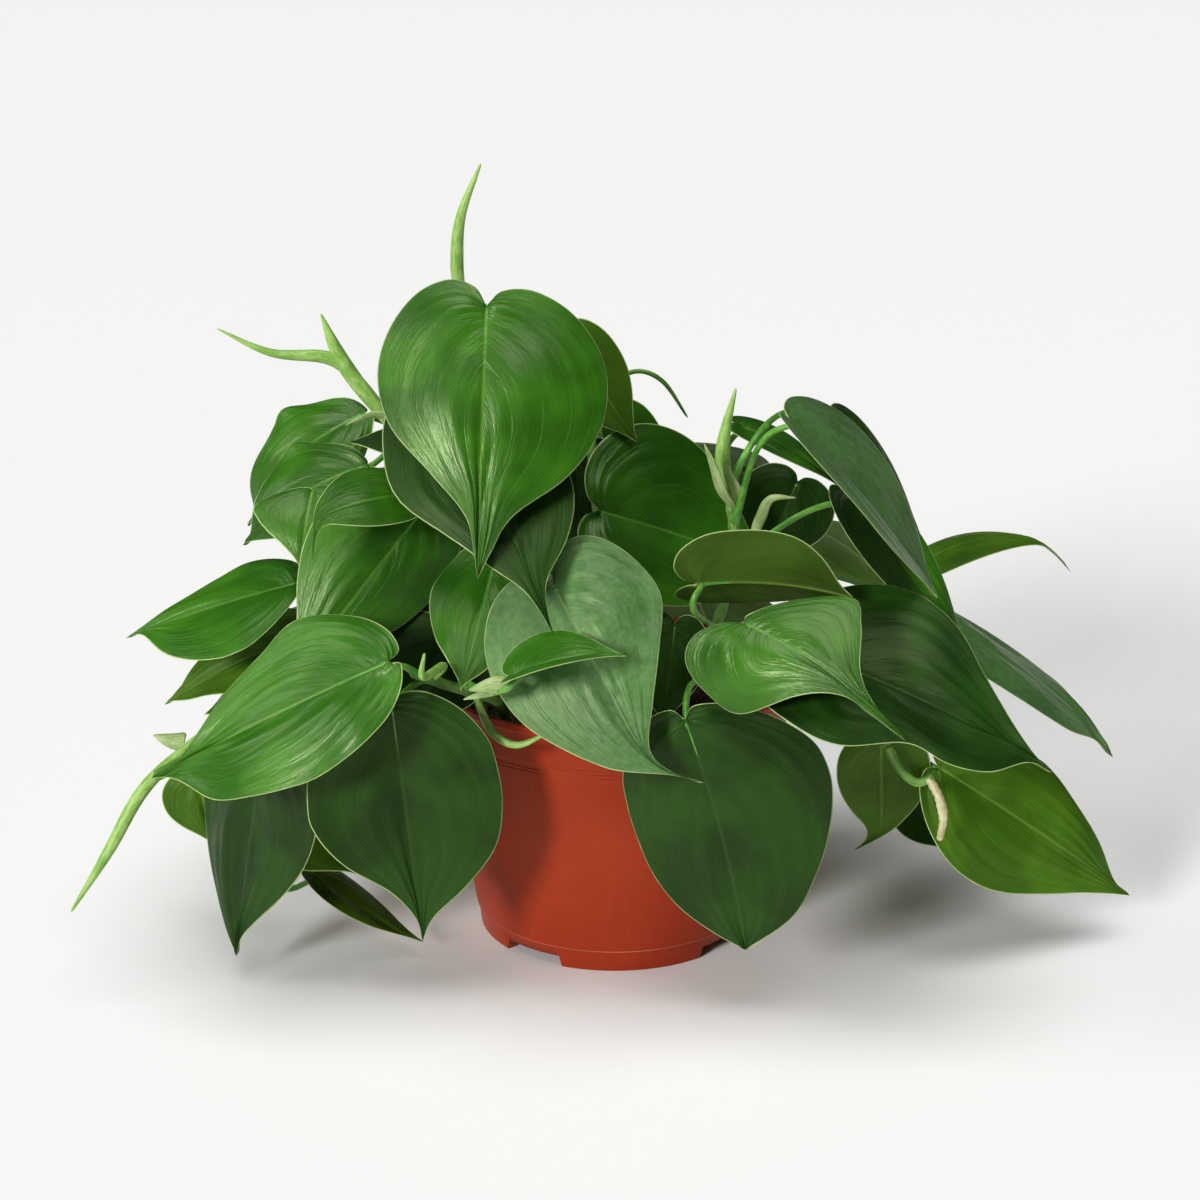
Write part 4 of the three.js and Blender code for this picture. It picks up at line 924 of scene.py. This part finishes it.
# %% [markdown]
# ## The pot
# A nursery pot is blown or injection moulded from polypropylene, coloured brick red. The plastic
# is thin and satin, with a beaded rim, a collar that ends in two fine grooves, a mould seam low
# on the wall and a foot ring with four gaps. It is a profile turned round its axis. The gaps are
# made in the same step: there the lowest points are lifted to the gap's height.

# %% The pot's profile
RIM_RADIUS = 76
POT_HEIGHT = 111
COLLAR = (73.4, 94.6)    # the radius and height of the collar's lower edge
WALL_TOP = 72.2          # the wall's radius just under it
SEAM = (58.9, 9.3)       # the radius and height of the mould seam
FOOT = (57, 53)          # the foot ring's outer and inner radius
FLOOR = 6
WALL = 1.8
GAP_HEIGHT = 4.6
GAP_HALF_WIDTH = 13.5
FIRST_GAP = -127         # the side that the middle of a gap is on, in degrees
POT_COLUMNS = 288


def wall_radius(height):
    """The outer wall's radius, which grows evenly from the seam to the collar."""
    return SEAM[0] + (WALL_TOP - SEAM[0]) * (height - SEAM[1]) / (COLLAR[1] - SEAM[1])


def rounded(corners):
    """A profile through corners of radius, height and rounding: each is a parabola of seven points
    that starts and ends the rounding's length from the corner."""
    at = np.array([c[:2] for c in corners], float)
    size = np.array([c[2] for c in corners], float)[:, None]
    before, after = np.roll(at, 1, axis=0), np.roll(at, -1, axis=0)
    enter, leave = at + unit(before - at) * size, at + unit(after - at) * size
    t = np.linspace(0, 1, 7)[:, None, None]
    return ((1 - t) ** 2 * enter + 2 * t * (1 - t) * at + t * t * leave).transpose(1, 0, 2).reshape(-1, 2)


GROOVES = (90.6, 92.2)   # heights of the two grooves under the collar
GROOVE_SIZE = 0.28


def groove(height):
    """One groove in the wall, as three corners."""
    return [(wall_radius(height - 0.3), height - 0.3, 0.1),
            (wall_radius(height) - GROOVE_SIZE, height, 0.12),
            (wall_radius(height + 0.3), height + 0.3, 0.1)]


POT_PROFILE = rounded([
    (FOOT[1], FLOOR, 0.4),
    (FOOT[1], 0, 0.3),
    (FOOT[0], 0, 0.5),
    (SEAM[0] - 0.7, SEAM[1], 0.3),
    (SEAM[0] - 0.1, SEAM[1] + 0.1, 0.08),
    (SEAM[0] + 0.25, SEAM[1] + 1.8, 0.8),
    *groove(GROOVES[0]),
    *groove(GROOVES[1]),
    (WALL_TOP - 0.15, COLLAR[1] - 0.7, 0.3),
    (COLLAR[0], COLLAR[1], 0.35),
    (RIM_RADIUS - 0.9, POT_HEIGHT - 3.6, 0.3),
    (RIM_RADIUS, POT_HEIGHT - 2.8, 0.5),
    (RIM_RADIUS, POT_HEIGHT, 0.9),
    (RIM_RADIUS - WALL - 0.7, POT_HEIGHT, 0.5),
    (COLLAR[0] - WALL, COLLAR[1], 0.5),
    (wall_radius(11) - WALL, FLOOR + WALL, 1.5),
])


print("points of the pot's profile:", len(POT_PROFILE))

# %% [markdown]
# Turning the profile gives a grid of rings. The drain holes can't be seen from the front, but the
# pot would look wrong from below without them. A round hole can't share the grid of the floor, so
# the holes are cut with booleans of plain cylinders, which are then applied.

# %% Make the pot
DRAINS = 6
DRAIN_SIDES = 32
DRAIN_RADIUS = 5 * MM
DRAIN_DEPTH = 9 * MM
DRAIN_RING = 34 * MM     # how far from the axis the holes lie
PLASTIC_CLOUD = 35 * MM
SCUFF = 2.2 * MM
SEAM_LINE = 0.35 * MM


def make_plastic():
    """Moulded plastic: brick red with soft clouds and a fine matt grain, upright scuffs, and a paler
    line where the seam has been polished by other pots."""
    material, tree, shader = new_material("terracotta_polypropylene", IOR=1.45, Subsurface_Weight=0.06,
                                          Subsurface_Radius=(1.0, 0.3, 0.1), Subsurface_Scale=MM)
    shader.inputs["Specular Tint"].default_value = linear("#ffc8a0")
    place = add(tree, "TexCoord").outputs["Object"]
    level = add(tree, "SeparateXYZ", {"Vector": place}).outputs["Z"]
    upright = add(tree, "Mapping", {"Vector": place, "Scale": (1.0, 1.0, 0.12)})
    clouds = add(tree, "TexNoise", {"Vector": place, "Scale": 1 / PLASTIC_CLOUD, "Detail": 2.0})
    scuffs = add(tree, "TexNoise", {"Vector": upright, "Scale": 1 / SCUFF, "Detail": 4.0})
    grain = add(tree, "TexNoise", {"Vector": place, "Scale": 1 / GRAIN_SIZE, "Detail": 1.0})
    scuffs = add(tree, "MapRange", {"Value": scuffs, "From Min": 0.6, "From Max": 0.85, "To Max": 0.1})
    line = add(tree, "Math", {0: level, 1: SEAM[1] * MM, 2: SEAM_LINE}, operation="COMPARE")
    seam = add(tree, "Math", {0: line, 1: clouds}, operation="MULTIPLY")
    colour = add(tree, "Mix", {"Factor": clouds, "A": "#8c260d", "B": "#a53418"}, data_type="RGBA")
    colour = add(tree, "Mix", {"Factor": scuffs, "A": colour, "B": "#cf7a5e"}, data_type="RGBA")
    colour = add(tree, "Mix", {"Factor": seam, "A": colour, "B": "#d98a70"}, data_type="RGBA")
    dulled = add(tree, "Math", {0: grain, 1: 0.08, 2: 0.4}, operation="MULTIPLY_ADD")
    height = add(tree, "Math", {0: grain, 1: GRAIN_HEIGHT}, operation="MULTIPLY")
    finish(tree, shader, colour, dulled, height)
    return material


def turned(profile, columns):
    """A profile turned round the upright axis, as a grid of one row for each of its points, and the
    angle of each column."""
    angles = np.linspace(0, 2 * np.pi, columns, endpoint=False)
    radius, height = profile[:, :1], profile[:, 1:]
    rings = np.broadcast_arrays(radius * np.cos(angles), radius * np.sin(angles), height)
    return np.stack(rings, axis=-1), angles


def closed_turn(rings, low, high):
    """The points, faces, surface values and face kinds of turned rings that are closed by a fan to
    the axis at the height low, before the first, and high, after the last."""
    points = np.concatenate([rings.reshape(-1, 3), [(0, 0, low), (0, 0, high)]])
    faces = closed_faces(*rings.shape[:2], inside_out=True)
    return points, faces, points, [0] * len(faces)


def make_pot():
    """The turned wall, closed across its floor. In a gap, lower points are lifted to its height."""
    rings, angles = turned(POT_PROFILE, POT_COLUMNS)
    from_gap = (np.degrees(angles) - FIRST_GAP + 45) % 90 - 45
    in_gap = np.abs(np.radians(from_gap)) * FOOT[0] < GAP_HALF_WIDTH
    rings[..., 2] = np.where(in_gap & (rings[..., 2] < GAP_HEIGHT), GAP_HEIGHT, rings[..., 2])
    return make_mesh("nursery_pot", *closed_turn(rings, FLOOR, FLOOR + WALL), [make_plastic()])


def cut_drains(pot):
    """Cuts the round holes, one after another, with boolean modifiers that are then applied."""
    for angle in np.arange(DRAINS) * 2 * np.pi / DRAINS:
        bpy.ops.mesh.primitive_cylinder_add(
            vertices=DRAIN_SIDES, radius=DRAIN_RADIUS, depth=DRAIN_DEPTH,
            location=(DRAIN_RING * np.cos(angle), DRAIN_RING * np.sin(angle), (FLOOR + WALL / 2) * MM))
        drill = bpy.context.object
        cut = pot.modifiers.new("drain", "BOOLEAN")
        cut.operation = "DIFFERENCE"
        cut.object = drill
        bpy.context.view_layer.objects.active = pot
        bpy.ops.object.modifier_apply(modifier="drain")
        bpy.data.objects.remove(drill)


pot = make_pot()
cut_drains(pot)
put_in_place(pot, "pot", "pot")
print("pot faces:", len(pot.data.polygons))

# %% [markdown]
# ## The soil
# Potting soil is peat, composted bark and a little perlite. Peat and bark are fibrous and swallow
# light, so they are very rough and dark, and perlite is a chalky grey white. All three get the same
# crumbly pattern, 1.6 mm across, in colours of their own.

# %% Soil materials
CRUMB_SIZE = 1.6 * MM


def soil_skin(name, deep, fresh):
    """Rough, dull crumbs between two colours."""
    material, tree, shader = new_material(name)
    place = add(tree, "TexCoord").outputs["Object"]
    crumbs = add(tree, "TexNoise", {"Vector": place, "Scale": 1 / CRUMB_SIZE, "Detail": 4.0})
    share = add(tree, "MapRange", {"Value": crumbs, "From Min": 0.35, "From Max": 0.7})
    colour = add(tree, "Mix", {"Factor": share, "A": deep, "B": fresh}, data_type="RGBA")
    dulled = add(tree, "Math", {0: crumbs, 1: 0.1, 2: 0.85}, operation="MULTIPLY_ADD")
    finish(tree, shader, colour, dulled, add(tree, "Math", {0: crumbs, 1: 0.8}, operation="MULTIPLY"))
    return material


SOIL_SKINS = [soil_skin("damp_peat", "#1a110b", "#3a281b"),
              soil_skin("composted_bark", "#3a2617", "#6b4a2e"),
              soil_skin("perlite", "#c9c5bb", "#e6e3da")]
print("soil materials:", len(SOIL_SKINS))

# %% [markdown]
# Under the leaves only the soil's dark, crumbly top shows. A bumped disc would look like felt, so
# the top is a turned profile like the pot's, but each of its points is raised by a sum of waves.

# %% The soil's bed
SOIL_TOP = 101
SOIL_RADIUS = 71.3
SOIL_FOOT = 69.3
SOIL_DEPTH = 14
SOIL_RINGS = 60
SOIL_COLUMNS = 180
SOIL_EDGE = 3            # the width of the soil's slope at the pot's wall
EDGE_DROP = 2
LUMP_HEIGHT = 1.6
LUMP_LENGTHS = (5.3, 9.1, 6.7, 11.3)
BUMP_HEIGHT = 0.35


def soil_height(x, y):
    """The height of the soil's top: crossed sine waves, with finer ones on them."""
    a, b, c, d = LUMP_LENGTHS
    coarse = LUMP_HEIGHT * np.sin(x / a + y / b) * np.cos(y / c - x / d)
    fine = BUMP_HEIGHT * np.sin(x * 1.7 + 2 * np.sin(y * 0.9)) * np.sin(y * 1.9 + 2 * np.sin(x * 1.1))
    return SOIL_TOP + coarse + fine


def make_soil_bed():
    """A round bed: a grid of rings for its top, and a side and a flat bottom below."""
    bottom = SOIL_TOP - SOIL_DEPTH
    radius = np.linspace(SOIL_RADIUS, 0.5, SOIL_RINGS)
    profile = np.concatenate([[(1.0, bottom), (SOIL_FOOT, bottom)],
                              np.stack([radius, np.full(SOIL_RINGS, SOIL_TOP)], axis=1)])
    rings, _ = turned(profile, SOIL_COLUMNS)
    edge = ramp(radius, SOIL_RADIUS - SOIL_EDGE, SOIL_RADIUS)[:, None]
    top = soil_height(rings[2:, :, 0], rings[2:, :, 1])
    rings[2:, :, 2] = top * (1 - edge) + (SOIL_TOP - EDGE_DROP) * edge
    return closed_turn(rings, bottom, soil_height(0, 0))


# %% [markdown]
# Crumbs, flakes of bark and grains of perlite lie strewn over the bed. Each is a tiny sphere of 40
# faces, pulled out of round by seeded numbers. All of them are worked out as one array, because
# hundreds of separate objects would be slow to make and to render.

# %% Crumbs on the soil
CRUMBS = 650
CRUMB_SIDES = 8
CRUMB_RINGS = 4
STREWN_RADIUS = 67
CRUMB_RADII = (0.8, 2.6)
CRUMB_STRETCH = (0.5, 1)          # its three half axes, as shares of its radius
CRUMB_DENTS = (0.75, 1.1)
CRUMB_SHARES = (0.45, 0.5, 0.05)  # of peat, bark and perlite


def make_crumbs():
    """Spheres of a few faces, stretched and dented, laid on the bed at places drawn over its area."""
    angle, tilt = np.meshgrid(np.arange(CRUMB_SIDES) * 2 * np.pi / CRUMB_SIDES,
                              np.linspace(0, np.pi, CRUMB_RINGS + 2)[1:-1])
    ball = np.stack([np.sin(tilt) * np.cos(angle), np.sin(tilt) * np.sin(angle), np.cos(tilt)], axis=-1)
    ball = np.concatenate([ball.reshape(-1, 3), [(0, 0, 1), (0, 0, -1)]])
    away = STREWN_RADIUS * np.sqrt(draws.uniform(0, 1, CRUMBS))
    bearing = draws.uniform(0, 2 * np.pi, CRUMBS)
    x, y = away * np.cos(bearing), away * np.sin(bearing)
    centre = np.stack([x, y, soil_height(x, y)], axis=1)
    size = draws.uniform(*CRUMB_STRETCH, (CRUMBS, 3)) * draws.uniform(*CRUMB_RADII, CRUMBS)[:, None]
    dents = draws.uniform(*CRUMB_DENTS, (CRUMBS, len(ball), 1))
    turn = draws.uniform(0, 2 * np.pi, CRUMBS)
    shape = ball * dents * size[:, None]
    c, s = np.cos(turn)[:, None], np.sin(turn)[:, None]
    shape = np.stack([shape[..., 0] * c - shape[..., 1] * s, shape[..., 0] * s + shape[..., 1] * c,
                      shape[..., 2]], axis=-1) + centre[:, None]
    faces = closed_faces(CRUMB_RINGS, CRUMB_SIDES)
    kinds = draws.choice(len(SOIL_SKINS), CRUMBS, p=CRUMB_SHARES)
    return join([(points, faces, points, [kind] * len(faces)) for points, kind in zip(shape, kinds)])


bed = join([make_soil_bed(), make_crumbs()])
put_in_place(make_mesh("potting_soil", *bed, SOIL_SKINS), "soil", "soil")
print("soil faces:", len(bed[1]))

# %% [markdown]
# ## Floor, light and camera
# The plant stands on a pale floor that runs out of the picture. Studio light for a plant is soft
# but comes from one side, so that every blade shows its own shape. Sun lamps with a wide disc are
# used here instead of area lamps, because their light is as strong on the far floor as on the
# plant, and the floor stays even. Each disc's width is the softness of its shadows and of its
# streaks on the leaves. The sky adds a little light from all round, more from above.

# %% Floor and lights
def make_floor():
    """A wide plain square, which isn't part of the object."""
    mesh = bpy.data.meshes.new("floor")
    mesh.from_pydata([(-30, -30, 0), (30, -30, 0), (30, 30, 0), (-30, 30, 0)], [], [(0, 1, 2, 3)])
    floor = bpy.data.objects.new("floor", mesh)
    material, _, shader = new_material("pale_floor", Roughness=0.8)
    shader.inputs["Base Color"].default_value = linear("#fafaf8")
    mesh.materials.append(material)
    bpy.context.scene.collection.objects.link(floor)


def soft_sun(name, bearing, height, width, strength):
    """A sun lamp, by the side it stands on, in degrees from the front to the right, its height
    above the floor and the width of its disc, both in degrees."""
    lamp = bpy.data.lights.new(name, "SUN")
    lamp.angle = np.radians(width)
    lamp.energy = strength
    light = bpy.data.objects.new(name, lamp)
    bpy.context.scene.collection.objects.link(light)
    light.rotation_euler = (np.radians(90 - height), 0, np.radians(bearing))


def make_sky(low, high):
    """A grey sky that brightens from its rim to its top."""
    world = bpy.data.worlds.new("studio")
    world.use_nodes = True
    tree = world.node_tree
    place = add(tree, "TexCoord").outputs["Generated"]
    up = add(tree, "SeparateXYZ", {"Vector": place}).outputs["Z"]
    level = add(tree, "MapRange", {"Value": up, "From Min": -0.1, "To Min": low, "To Max": high})
    background = tree.nodes["Background"]
    tree.links.new(level.outputs["Result"], background.inputs["Strength"])
    background.inputs["Color"].default_value = (1, 1, 1, 1)
    bpy.context.scene.world = world


make_floor()
soft_sun("key", -35, 21, 14, 2.5)
soft_sun("side", -86, 36, 20, 0.5)
soft_sun("top", 5, 78, 44, 1.85)
make_sky(0.01, 0.05)
bpy.context.scene.view_settings.view_transform = "Standard"

# %% [markdown]
# The camera stands where the picture was taken: a little over a metre away, and high enough to
# look down on the plant by 18 degrees. Its lens fills the frame as the picture does.

# %% The camera
CAMERA_PLACE = (-0.006, -1.0462, 0.4819)
LOOKS_DOWN = 18
LENS = 79.5
SENSOR = 36
camera = bpy.data.objects.new("camera", bpy.data.cameras.new("camera"))
bpy.context.scene.collection.objects.link(camera)
camera.location = CAMERA_PLACE
camera.rotation_euler = (np.radians(90 - LOOKS_DOWN), 0, 0)
camera.data.lens = LENS
camera.data.sensor_width = SENSOR
bpy.context.scene.camera = camera
print("camera:", CAMERA_PLACE, "lens:", LENS)
